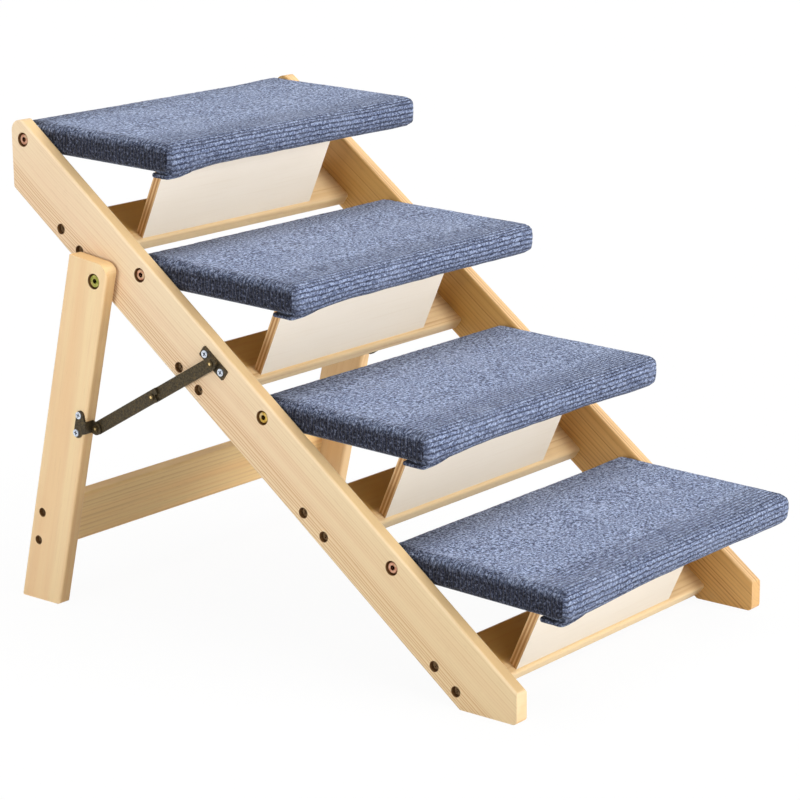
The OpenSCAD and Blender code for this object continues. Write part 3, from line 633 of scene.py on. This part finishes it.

# Metal parts
# Painted shade in the sockets of the bolts and the crosses of the screws, and a painted glint on the rivets
SOCKET_SHADE = srgb(14, 12, 12)
CROSS_SHADE = srgb(26, 40, 66)
PAINTED_GLINT = srgb(236, 206, 142)
COPPER = (srgb(222, 174, 146), srgb(176, 116, 90))
GOLD = (srgb(226, 192, 100), srgb(168, 128, 48))
GOLD_TREAD = 2
SOCKET_R = 0.0021
CROSS_R = 0.0022
RIVET_CORE_R = 0.0011
ZINC = metal("zinc", srgb(214, 218, 224), srgb(164, 170, 182), 0.3, tint=srgb(226, 214, 170))
# A darker brown copy of the zinc for the screws deep in their holes: painted shade
ZINC_PAINTED_SHADE = metal("zinc_painted_shade", srgb(150, 122, 88), srgb(112, 86, 58), 0.45, metallic=0.7)
BRONZE = metal(
    "bronze_steel", srgb(86, 76, 56), srgb(50, 43, 31), 0.42,
    spots=700.0, metallic=0.7, tint=srgb(96, 80, 50), turn=SLOPE,
)
SHADED_SCREW_NODES = ("slat_screws", "crossbar_screws")
ZINC_NODES = ("tread_washers", "tread_inserts", "leg_pivot_inserts", "leg_pivot_washers", "prop_hinge")
for n in nodes:
    if n.startswith(SHADED_SCREW_NODES):
        use(n, ZINC_PAINTED_SHADE)
    elif n.startswith(ZINC_NODES):
        use(n, ZINC)
for k in TREADS:
    plate = GOLD if k == GOLD_TREAD else COPPER
    # the black socket of each bolt is painted shade
    socket = [(PIVOTS[k].y, PIVOTS[k].z)]
    bolt = metal(
        f"bolt_{k}", *plate, 0.34, tint=srgb(214, 190, 150), cores=socket, core_r=SOCKET_R, core=SOCKET_SHADE
    )
    use(f"tread_bolts_{k}", bolt)
leg_bolt = metal(
    "yellow_bolt", srgb(196, 190, 104), srgb(128, 132, 54), 0.3, tint=srgb(214, 184, 120),
    cores=[(LEG_PIVOT.y, LEG_PIVOT.z)], core_r=SOCKET_R, core=SOCKET_SHADE,
)
use("leg_pivot_bolts", leg_bolt)


def axis_of(node):
    """The (y, z) of a round node's axis, or the middle of a pair of screws."""
    lo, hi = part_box(node)
    return (lo[1] + hi[1]) / 2, (lo[2] + hi[2]) / 2


def screw_pair(node, gap, lean):
    """White zinc screws with a cross of painted shade, two to a side. lean is the way of the pair from +Y
    towards +Z.
    """
    y, z = axis_of(node)
    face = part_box(node)[1][0]
    dy, dz = gap / 2 * math.cos(lean), gap / 2 * math.sin(lean)
    places = [(y - dy, z - dz), (y + dy, z + dz)]
    zinc = metal(
        f"zinc_{node}", srgb(232, 238, 246), srgb(188, 198, 212), 0.3,
        cores=places, core_r=CROSS_R, core=CROSS_SHADE, level=face,
    )
    use(node, zinc)


# The distance between the two screws of each bracket
SIDE_PLATE_GAP = 0.0232
LEG_PLATE_GAP = 0.0177
screw_pair("stringer_bracket_screws", SIDE_PLATE_GAP, SLOPE)
screw_pair("leg_bracket_screws", LEG_PLATE_GAP, LEG_TURN)
for n in nodes:
    # the rivets' golden middle is a painted glint
    if "rivet" in n:
        rivet = metal(
            f"bronze_{n}", srgb(104, 88, 56), srgb(58, 47, 32), 0.36, spots=900.0, metallic=0.8,
            cores=[axis_of(n)], core_r=RIVET_CORE_R, core=PAINTED_GLINT,
        )
        use(n, rivet)
    elif n.startswith("stay_"):
        use(n, BRONZE)


# Carpet covers
def tread_point(k, x, y, z):
    """A point given along the width, depth and height of tread k, in the shared frame."""
    c, s = math.cos(TREAD_DIP), math.sin(TREAD_DIP)
    p = PIVOTS[k]
    return Vector((x, p.y + y * c - z * s, p.z + y * s + z * c))


def smooth(a, b, x):
    """Goes smoothly from 0 to 1 while x goes from a to b."""
    t = min(1.0, max(0.0, (x - a) / (b - a)))
    return t * t * (3 - 2 * t)


def past_left(x, a, b):
    """Goes smoothly from 0 to 1 while the distance of x from the tread's left end goes from a to b."""
    return smooth(-HALF_WIDE + a, -HALF_WIDE + b, x)


def past_front(y, a, b):
    """Goes smoothly from 0 to 1 while the distance of y from the tread's front goes from a to b."""
    return smooth(-REACH + a, -REACH + b, y)


def grid_lines(a, b, step):
    """Even lines from a to b, about one step apart."""
    n = max(1, round((b - a) / step))
    return [a + (b - a) * i / n for i in range(n + 1)]


def add_piece(name, verts, faces, uvs, attributes, mat, body):
    """A soft piece that rides on body. uvs and attributes have one value for each corner of a face."""
    mesh = bpy.data.meshes.new(name)
    mesh.from_pydata(verts, [], faces)
    layer = mesh.uv_layers.new(name="rib")
    flat = np.array([c for f in uvs for c in f], dtype=np.float32)
    layer.data.foreach_set("uv", flat.ravel())
    for key, values in attributes.items():
        a = mesh.attributes.new(key, "FLOAT", "CORNER")
        a.data.foreach_set("value", np.array([c for f in values for c in f], dtype=np.float32))
    mesh.materials.append(mat)
    mesh.shade_smooth()
    mesh.update()
    obj = bpy.data.objects.new(name, mesh)
    bpy.context.scene.collection.objects.link(obj)
    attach(obj, body)
    return obj


def stations(a, b, near, wide):
    """Grid lines from a to b, close together for a short way from both ends."""
    steps = [near * i for i in range(int(NEAR_ZONE / near) + 1)]
    inner = grid_lines(a + steps[-1], b - steps[-1], wide)[1:-1]
    return [a + d for d in steps] + inner + [b - d for d in reversed(steps)]


def round_pair(p, q, half_p, half_q, r):
    """Bends a square corner of the section into an arc of radius r."""
    dp, dq = abs(p) - (half_p - r), abs(q) - (half_q - r)
    if dp <= 0 or dq <= 0:
        return p, q
    s = max(dp, dq) / math.hypot(dp, dq)
    return math.copysign(half_p - r + dp * s, p), math.copysign(half_q - r + dq * s, q)


# A shorter vector has no direction
TINY = 1e-9
# The grid of a cover: close lines near the edges, wider ones between
NEAR_ZONE = 0.009
NEAR_STEP = 0.0009
WIDE_STEP = 0.003
# How far the pile stands out at the sides and on top, the depth of the shell that it moves, and how much its
# lumps and its fuzz move it further
PILE_SIDE = 0.0005
PILE_TOP = 0.0009
SHELL = 0.012
LUMP, FUZZ = 0.0003, 0.00032
# Waves of that noise to a metre: of the lumps across the tread, of the lumps the other ways, of the fuzz
LUMPS_ACROSS, LUMPS_ALONG = 20, 24
HAIRS = 330
# The underside, up to this height, keeps its place
UNDER_FLAT = 0.001
# Radii of the roundings: along the left and right ends, and of the upright corners, the left ones by tread
LEFT_END_R, RIGHT_END_R = 0.0075, 0.006
CORNER_R = {1: 0.0065, 2: 0.0055, 3: 0.005, 4: 0.003}
RIGHT_CORNER_R = 0.0065
# In front of CLEAR_Y, counted from the pivot, a tread stands clear of the side boards. Both its ends fill out
# there along END_EASE, the right one swells along SWELL_EASE, and the top's right end rises by TOP_SWELL
CLEAR_Y = -0.045
END_EASE, SWELL_EASE = 0.035, 0.11
END_SWELL = 0.0006
RIGHT_SWELL = {1: 0.0078, 2: 0.003, 3: 0.0036, 4: 0.0022}
TOP_SWELL = {1: 0.001, 2: 0.0, 3: 0.0003, 4: 0.0014}
# How far the lower front edge hangs down: at the left corner, along which length, and at the right
DROOP = {1: 0.0038, 2: 0.0036, 3: 0.0034, 4: 0.0042}
TAPER = {1: 0.15, 2: 0.1, 3: 0.085, 4: 0.08}
RIGHT_DROOP = {1: 0.0012, 2: 0.002, 3: 0.001, 4: 0.0004}
# Where the droop sets in and where it is whole: in height, from the front and from the left end, and in the
# right half from the middle, where the top's swell has its own places
DROOP_TOP = 0.004
DROOP_DEEP = (0.022, 0.004)
DROOP_NEAR = (0.001, 0.007)
DROOP_WHOLE = 0.01
RIGHT_DROOP_X = (0.06, 0.15)
TOP_SWELL_X = (0.1, 0.165)
# The small waves of the lower front edge
WAVE, WAVES = 0.0005, 40
# How far the ribs stand out on the top, how much further in a strip along its front and at its left end, and
# how far on the front, the ends, the back, the underside and the cut edge of a hem
TOP_RIB, STRIP_RIB, LEFT_RIB = 0.14, 0.66, 0.5
FRONT_RIB, END_RIB, BACK_RIB, UNDER_RIB, HEM_RIB = 0.95, 0.64, 0.8, 0.7, 0.3
# The strip's width, how far and how often to a metre that wanders, and its soft edge. LEFT_RIB_X is the soft
# edge at the left end
STRIP_WIDE, STRIP_WANDER, STRIP_WAVES, STRIP_EDGE = 0.046, 0.008, 18, 0.02
LEFT_RIB_X = (0.016, 0.002)
# How much painted shade lies on each front, and on the back, the underside and the cut edge of a hem
FRONT_DIM = {1: 0.12, 2: 0.15, 3: 0.18, 4: 0.28}
BACK_DIM, UNDER_DIM, HEM_DIM = 0.2, 0.6, 0.8
# The height of that cut edge on the UV map
HEM_EDGE = 0.004
# How much painted shade darkens the top at the left end, at the back, there towards the left, and along the
# front
LEFT_DIM, LEFT_DIM_X = 0.45, (0.014, 0.001)
REAR_DIM, REAR_LEFT_DIM = 0.3, 0.3
REAR_FROM, REAR_TO, REAR_LEFT_FROM = 0.045, 0.004, 0.06
NOSE_DIM, NOSE_DIM_Y = 0.28, (0.014, 0.003)
# How much painted shade darkens the front below and above the height LIT_Z, and at its left corner
LIT_Z, BELOW_DIM, ABOVE_DIM = 0.006, 0.3, 0.22
CORNER_DIM, CORNER_DIM_X = 0.4, (0.012, 0.001)
# How much painted shade darkens the ends at the top, and how much more from END_DEEP downwards
END_DIM, END_LOW_DIM, END_DEEP = 0.45, 0.55, 0.009
MID_Y = (TAIL - REACH) / 2
HALF_DEEP = (TAIL + REACH) / 2


def cover(k):
    """The carpet round one tread board: a rounded slab, open below between its four hems."""
    xs = stations(-HALF_WIDE, HALF_WIDE, NEAR_STEP, WIDE_STEP)
    ys = stations(-REACH, TAIL, NEAR_STEP, WIDE_STEP)
    zs = grid_lines(-HALF_THICK, HALF_THICK, NEAR_STEP)
    win_x = (-HALF_WIDE + HEM, HALF_WIDE - HEM)
    win_y = (-REACH + HEM, TAIL - HEM)
    index, verts = {}, []
    faces, uvs, ribs, ends = [], [], [], []
    seed = 11.0 * k

    def point(x, y, z):
        key = (round(x, 6), round(y, 6), round(z, 6))
        if key in index:
            return index[key]
        px, py, pz = x, y - MID_Y, z
        py, pz = round_pair(py, pz, HALF_DEEP, HALF_THICK, NOSE_R if py < 0 else TAIL_R)
        px, pz = round_pair(px, pz, HALF_WIDE, HALF_THICK, LEFT_END_R if px < 0 else RIGHT_END_R)
        px, py = round_pair(px, py, HALF_WIDE, HALF_DEEP, CORNER_R[k] if px < 0 else RIGHT_CORNER_R)
        out = Vector([
            math.copysign(max(0.0, abs(c) - half + SHELL), c)
            for c, half in ((px, HALF_WIDE), (py, HALF_DEEP), (pz, HALF_THICK))
        ])
        p = Vector((px, py + MID_Y, pz))
        lump = noise.noise(Vector((x * LUMPS_ACROSS + seed, y * LUMPS_ALONG, z * LUMPS_ALONG)))
        fuzz = noise.noise(Vector((x * HAIRS, y * HAIRS, z * HAIRS + seed)))
        if out.length > TINY and z > -HALF_THICK + UNDER_FLAT:
            p += out.normalized() * (LUMP * lump + FUZZ * fuzz)
            p += Vector((PILE_SIDE * out.x, PILE_SIDE * out.y, PILE_TOP * max(0.0, out.z))) / SHELL
            # the ends fill out a little where they stand clear of the side boards
            edge = min(1.0, abs(out.x) / SHELL)
            p.x += END_SWELL * math.copysign(smooth(CLEAR_Y, CLEAR_Y - END_EASE, y) * edge, x)
            if x > 0:
                swell = RIGHT_SWELL[k] * smooth(CLEAR_Y, CLEAR_Y - SWELL_EASE, y)
                p.x += swell * edge * (1 - (z / HALF_THICK) ** 2)
        # the doubled hems at the front corners push the lower front edge down
        low = smooth(DROOP_TOP, -HALF_THICK, z) * past_front(y, *DROOP_DEEP)
        near = past_left(x, *DROOP_NEAR)
        p.z -= DROOP[k] * low * near * past_left(x, TAPER[k], DROOP_WHOLE)
        p.z -= RIGHT_DROOP[k] * low * smooth(*RIGHT_DROOP_X, x)
        p.z += TOP_SWELL[k] * smooth(0.0, HALF_THICK, z) * smooth(*TOP_SWELL_X, x)
        p.z += WAVE * low * noise.noise(Vector((x * WAVES + seed, 0, 0)))
        index[key] = len(verts)
        verts.append(tread_point(k, *p))
        return index[key]

    def quad(corners, uv, rib, end):
        faces.append([point(*c) for c in corners])
        uvs.append(uv)
        ribs.append(rib)
        ends.append(end)

    def top_rib(x, y):
        wide = STRIP_WIDE + STRIP_WANDER * noise.noise(Vector((x * STRIP_WAVES + seed, 0, 0)))
        strip = STRIP_RIB * past_front(y, wide, wide - STRIP_EDGE)
        return TOP_RIB + max(strip, LEFT_RIB * past_left(x, *LEFT_RIB_X))

    def top_dim(x, y):
        left = LEFT_DIM * past_left(x, *LEFT_DIM_X)
        rear = REAR_DIM + REAR_LEFT_DIM * smooth(REAR_LEFT_FROM, -HALF_WIDE, x)
        rear *= smooth(TAIL - REAR_FROM, TAIL - REAR_TO, y)
        return min(1.0, left + rear + NOSE_DIM * past_front(y, *NOSE_DIM_Y))

    def front_dim(x, z):
        below = BELOW_DIM * smooth(LIT_Z, -HALF_THICK, z)
        above = ABOVE_DIM * smooth(LIT_Z, HALF_THICK, z)
        return FRONT_DIM[k] + below + above + CORNER_DIM * past_left(x, *CORNER_DIM_X)

    def end_dim(z):
        return END_DIM + END_LOW_DIM * smooth(HALF_THICK, HALF_THICK - END_DEEP, z)

    under_v = -2 * REACH - 2 * HALF_THICK
    for a, b in zip(xs, xs[1:]):
        for c, d in zip(ys, ys[1:]):
            ring = [(a, c), (b, c), (b, d), (a, d)]
            quad(
                [(x, y, HALF_THICK) for x, y in ring],
                ring,
                [top_rib(x, y) for x, y in ring],
                [top_dim(x, y) for x, y in ring],
            )
            mid_x, mid_y = (a + b) / 2, (c + d) / 2
            if win_x[0] < mid_x < win_x[1] and win_y[0] < mid_y < win_y[1]:
                continue
            ring = [(a, d), (b, d), (b, c), (a, c)]
            quad(
                [(x, y, -HALF_THICK) for x, y in ring],
                [(x, under_v - y) for x, y in ring],
                [UNDER_RIB] * 4,
                [UNDER_DIM] * 4,
            )
        for c, d in zip(zs, zs[1:]):
            ring = [(a, c), (b, c), (b, d), (a, d)]
            quad(
                [(x, -REACH, z) for x, z in ring],
                [(x, -REACH - (HALF_THICK - z)) for x, z in ring],
                [FRONT_RIB] * 4,
                [front_dim(x, z) for x, z in ring],
            )
            ring = [(b, c), (a, c), (a, d), (b, d)]
            quad(
                [(x, TAIL, z) for x, z in ring],
                [(x, TAIL + (HALF_THICK - z)) for x, z in ring],
                [BACK_RIB] * 4,
                [BACK_DIM] * 4,
            )
    for c, d in zip(ys, ys[1:]):
        for e, f in zip(zs, zs[1:]):
            for sx in (-1, 1):
                x = sx * HALF_WIDE
                ring = [(x, d, e), (x, c, e), (x, c, f), (x, d, f)]
                uv = [(e, d), (e, c), (f, c), (f, d)]
                dim = [end_dim(e), end_dim(e), end_dim(f), end_dim(f)]
                if sx > 0:
                    ring, uv, dim = ring[::-1], uv[::-1], dim[::-1]
                quad(ring, uv, [END_RIB] * 4, dim)

    # the cut edges of the hems rise to the board
    used = set()
    for f in faces:
        used.update(zip(f, f[1:] + f[:1]))
    top = {}

    def lifted(i):
        if i not in top:
            base = verts[i] - PIVOTS[k]
            c, s = math.cos(TREAD_DIP), math.sin(TREAD_DIP)
            top[i] = len(verts)
            verts.append(tread_point(k, base.x, base.y * c + base.z * s, HEM_INTO - BOARD_HALF))
        return top[i]

    for a, b in [(a, b) for (a, b) in sorted(used) if (b, a) not in used]:
        faces.append([b, a, lifted(a), lifted(b)])
        va, vb = verts[a], verts[b]
        low_edge = [(vb.x, vb.y), (va.x, va.y)]
        uvs.append(low_edge + [(va.x, va.y + HEM_EDGE), (vb.x, vb.y + HEM_EDGE)])
        ribs.append([HEM_RIB] * 4)
        ends.append([HEM_DIM] * 4)
    looks = {"rib_strength": ribs, "end_shade": ends}
    obj = add_piece(f"carpet_cover_{k}", verts, faces, uvs, looks, CARPETS[k], f"tread_{k}")
    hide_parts(f"tread_carpet_{k}")
    return obj


# A corner fold: its width, its depth by tread, how far it lies inside the cover's end and front, and its grid
FOLD_WIDE = 0.05
FOLD_DEEP = {1: 0.024, 2: 0.024, 3: 0.024, 4: 0.02}
FOLD_INSET = {"left": (0.0008, 0.0016), "right": (0.01, 0.01)}
FOLD_GRID = (24, 20, 6)
# How much thicker a left fold is than the droop beside it, and how thick a right one is
FOLD_LOWER = 0.0004
RIGHT_FOLD_THICK = 0.001
# Its edges' radius as a share of its thickness, and the radius of its corners
FOLD_ROUND = 0.45
FOLD_CORNER_R = 0.004
# How much it thins out inwards and from where, how far it lies below the hem, and how far it rises inwards
FOLD_THIN, FOLD_THIN_FROM = 0.9, 0.01
FOLD_BELOW = 0.0004
FOLD_RISE, FOLD_RISE_FROM = 0.002, 0.02
# How far its back edge wanders, how rough its faces are, and the waves of both to a metre
FOLD_WANDER, FOLD_WANDERS = 0.0012, 120
FOLD_ROUGH, FOLD_ROUGHS = 0.0003, 150
# How far the ribs stand out on each of its faces, and how much painted shade lies there
FOLD_LOOKS = {
    "under": (0.6, 0.7),
    "over": (0.6, 1.0),
    "front": (0.9, 0.4),
    "back": (0.5, 0.9),
    "outer": (0.4, 0.8),
    "inner": (0.5, 0.9),
}


def corner_fold(k, side):
    """The doubled carpet under a front corner, where the front hem laps over the end hem."""
    sx = -1 if side == "left" else 1
    wide, deep = FOLD_WIDE, FOLD_DEEP[k]
    thick = DROOP[k] + FOLD_LOWER if sx < 0 else RIGHT_FOLD_THICK
    end_inset, front_inset = FOLD_INSET[side]
    nx, ny, nz = FOLD_GRID
    index, verts = {}, []
    faces, uvs, ribs, ends = [], [], [], []

    def point(i, j, h):
        key = (i, j, h)
        if key in index:
            return index[key]
        px, py, pz = (i / nx - 0.5) * wide, (j / ny - 0.5) * deep, (h / nz - 0.5) * thick
        r = thick * FOLD_ROUND
        py, pz = round_pair(py, pz, deep / 2, thick / 2, r)
        px, pz = round_pair(px, pz, wide / 2, thick / 2, r)
        px, py = round_pair(px, py, wide / 2, deep / 2, FOLD_CORNER_R)
        x, y, z = px + wide / 2, py + deep / 2, pz - thick / 2
        # thins out inwards and wanders like cut carpet
        z *= 1 - FOLD_THIN * smooth(FOLD_THIN_FROM, wide, x)
        z += FOLD_RISE * smooth(FOLD_RISE_FROM, wide, x) - FOLD_BELOW
        wander = noise.noise(Vector((x * FOLD_WANDERS + k * 5, 3.0 * sx, 0)))
        y += FOLD_WANDER * wander * smooth(0, deep, y)
        z += FOLD_ROUGH * noise.noise(Vector((x * FOLD_ROUGHS, y * FOLD_ROUGHS, k + sx)))
        index[key] = len(verts)
        across = sx * (HALF_WIDE - end_inset - x)
        verts.append(tread_point(k, across, y - REACH + front_inset, z - HALF_THICK))
        return index[key]

    def quad(ids, face):
        rib, end = FOLD_LOOKS[face]
        pts = [point(*i) for i in ids]
        if sx > 0:
            pts, ids = pts[::-1], ids[::-1]
        faces.append(pts)
        start = -REACH - 2 * HALF_THICK
        uvs.append([(i / nx * wide, start - j / ny * deep - h / nz * thick) for i, j, h in ids])
        ribs.append([rib] * 4)
        ends.append([end] * 4)

    for i in range(nx):
        for j in range(ny):
            quad([(i, j, 0), (i + 1, j, 0), (i + 1, j + 1, 0), (i, j + 1, 0)], "under")
            quad([(i, j, nz), (i, j + 1, nz), (i + 1, j + 1, nz), (i + 1, j, nz)], "over")
        for h in range(nz):
            quad([(i, 0, h), (i, 0, h + 1), (i + 1, 0, h + 1), (i + 1, 0, h)], "front")
            quad([(i, ny, h), (i + 1, ny, h), (i + 1, ny, h + 1), (i, ny, h + 1)], "back")
    for j in range(ny):
        for h in range(nz):
            quad([(0, j, h), (0, j + 1, h), (0, j + 1, h + 1), (0, j, h + 1)], "outer")
            quad([(nx, j, h), (nx, j, h + 1), (nx, j + 1, h + 1), (nx, j + 1, h)], "inner")
    looks = {"rib_strength": ribs, "end_shade": ends}
    return add_piece(f"carpet_fold_{k}_{side}", verts, faces, uvs, looks, CARPETS[k], f"tread_{k}")


CARPETS = {k: carpet(f"carpet_felt_{k}", 3.7 * k) for k in TREADS}
for k in TREADS:
    whole = cover(k)
    folds = [corner_fold(k, side) for side in ("left", "right")]


# Floor, light and camera
# The floor: half its side, how much it reflects, and the share of plain white in what the camera sees of it
FLOOR_HALF = 6.0
FLOOR_ALBEDO = 0.7
FLOOR_KEEP = 0.95
WORLD_TINT = (1, 0.99, 0.975, 1)
WORLD_STRENGTH = 0.34
WHITE = (1, 1, 1, 1)


def white_seen(name, albedo, keep):
    """A plain pale diffuse surface that is seen as nearly white, with a faint shadow."""
    t = Tree(name)
    path = t.node("ShaderNodeLightPath")
    mirrored = t.math("MAXIMUM", path.outputs["Is Glossy Ray"], path.outputs["Is Transmission Ray"])
    seen = t.math("MAXIMUM", path.outputs["Is Camera Ray"], mirrored)
    diffuse = t.node("ShaderNodeBsdfDiffuse")
    t.put(diffuse.inputs["Color"], t.mix(seen, (albedo, albedo, albedo, 1), WHITE))
    glow = t.node("ShaderNodeEmission")
    glow.inputs["Strength"].default_value = 1.0
    both = t.node("ShaderNodeMixShader")
    t.put(both.inputs[0], t.times(seen, keep))
    t.nt.links.new(diffuse.outputs[0], both.inputs[1])
    t.nt.links.new(glow.outputs[0], both.inputs[2])
    t.nt.links.new(both.outputs[0], t.out.inputs[0])
    return t.mat


def floor():
    """The plain floor that the steps stand on."""
    mesh = bpy.data.meshes.new("floor")
    lines = grid_lines(-FLOOR_HALF, FLOOR_HALF, FLOOR_HALF / 4)
    row = len(lines)
    verts = [(x, y, 0) for y in lines for x in lines]
    faces = []
    for j in range(row - 1):
        for i in range(row - 1):
            first = j * row + i
            faces.append((first, first + 1, first + row + 1, first + row))
    mesh.from_pydata(verts, [], faces)
    mesh.materials.append(white_seen("floor_white", FLOOR_ALBEDO, FLOOR_KEEP))
    obj = bpy.data.objects.new("floor", mesh)
    bpy.context.scene.collection.objects.link(obj)


floor()

# Soft light from all round for the steps, and plain white for the camera, mirrors and glass
world = bpy.data.worlds.new("studio")
bpy.context.scene.world = world
world.use_nodes = True
wt = world.node_tree
wt.nodes.clear()
out = wt.nodes.new("ShaderNodeOutputWorld")
path = wt.nodes.new("ShaderNodeLightPath")
seen_a = wt.nodes.new("ShaderNodeMath")
seen_a.operation = "MAXIMUM"
seen_b = wt.nodes.new("ShaderNodeMath")
seen_b.operation = "MAXIMUM"
wt.links.new(path.outputs["Is Glossy Ray"], seen_a.inputs[0])
wt.links.new(path.outputs["Is Transmission Ray"], seen_a.inputs[1])
wt.links.new(path.outputs["Is Camera Ray"], seen_b.inputs[0])
wt.links.new(seen_a.outputs[0], seen_b.inputs[1])
soft = wt.nodes.new("ShaderNodeBackground")
soft.inputs["Color"].default_value = WORLD_TINT
soft.inputs["Strength"].default_value = WORLD_STRENGTH
white = wt.nodes.new("ShaderNodeBackground")
white.inputs["Strength"].default_value = 1.0
white.inputs["Color"].default_value = WHITE
pick = wt.nodes.new("ShaderNodeMixShader")
wt.links.new(seen_b.outputs[0], pick.inputs[0])
wt.links.new(soft.outputs[0], pick.inputs[1])
wt.links.new(white.outputs[0], pick.inputs[2])
wt.links.new(pick.outputs[0], out.inputs[0])


def lamp(name, toward, power, angle):
    """A wide soft sun that shines from the direction toward."""
    data = bpy.data.lights.new(name, "SUN")
    data.energy = power
    data.angle = math.radians(angle)
    obj = bpy.data.objects.new(name, data)
    obj.rotation_mode = "QUATERNION"
    obj.rotation_quaternion = Vector(toward).to_track_quat("Z", "Y")
    bpy.context.scene.collection.objects.link(obj)


lamp("left", (-0.99, -0.08, 0.05), 1.55, 30)
lamp("front", (0.35, -0.93, 0.12), 2.4, 28)
lamp("above", (0.1, -0.25, 0.95), 1.95, 60)


def floor_card(name, middle, size, radiance):
    """A reflector lying in front of the steps, that lights what faces forward and down."""
    data = bpy.data.lights.new(name, "AREA")
    data.shape = "RECTANGLE"
    data.size, data.size_y = size
    data.energy = radiance * math.pi * size[0] * size[1]
    obj = bpy.data.objects.new(name, data)
    obj.rotation_euler = (math.pi, 0, 0)
    obj.location = middle
    obj.visible_camera = False
    bpy.context.scene.collection.objects.link(obj)


CARD_MIDDLE = (0.4, -2.35, 0.004)
CARD_SIZE = (4.4, 3.6)
CARD_RADIANCE = 1.2
floor_card("card", CARD_MIDDLE, CARD_SIZE, CARD_RADIANCE)

# The camera as fitted to the photograph: turn, height and roll in radians, its distance in metres from the
# point that it aims at, and the focal length in pixels of the square frame
FRAME = 800
SENSOR = 36.0
AZ, EL, ROLL = -0.8821851484104996, 0.25668301570158475, -0.010877004376172656
DISTANCE, FOCAL = 2.516858548, 2668.01397
AIM_X, AIM_BEHIND, AIM_HIGH = 0.04146164, 0.17752, 0.18106986
AIM = Vector((AIM_X, PIVOTS[1].y + AIM_BEHIND, AIM_HIGH))
FAR_CLIP = 50
back = Vector((math.sin(AZ) * math.cos(EL), -math.cos(AZ) * math.cos(EL), math.sin(EL)))
side_way = Vector((0, 0, 1)).cross(back).normalized()
up_way = back.cross(side_way)
right = side_way * math.cos(ROLL) + up_way * math.sin(ROLL)
up = up_way * math.cos(ROLL) - side_way * math.sin(ROLL)
cam_data = bpy.data.cameras.new("camera")
cam_data.sensor_width = SENSOR
cam_data.lens = FOCAL * SENSOR / FRAME
cam_data.clip_end = FAR_CLIP
cam = bpy.data.objects.new("camera", cam_data)
bpy.context.scene.collection.objects.link(cam)
place = Matrix((right, up, back)).transposed().to_4x4()
place.translation = AIM + back * DISTANCE
cam.matrix_world = place
bpy.context.scene.camera = cam
bpy.context.scene.view_settings.view_transform = "Standard"
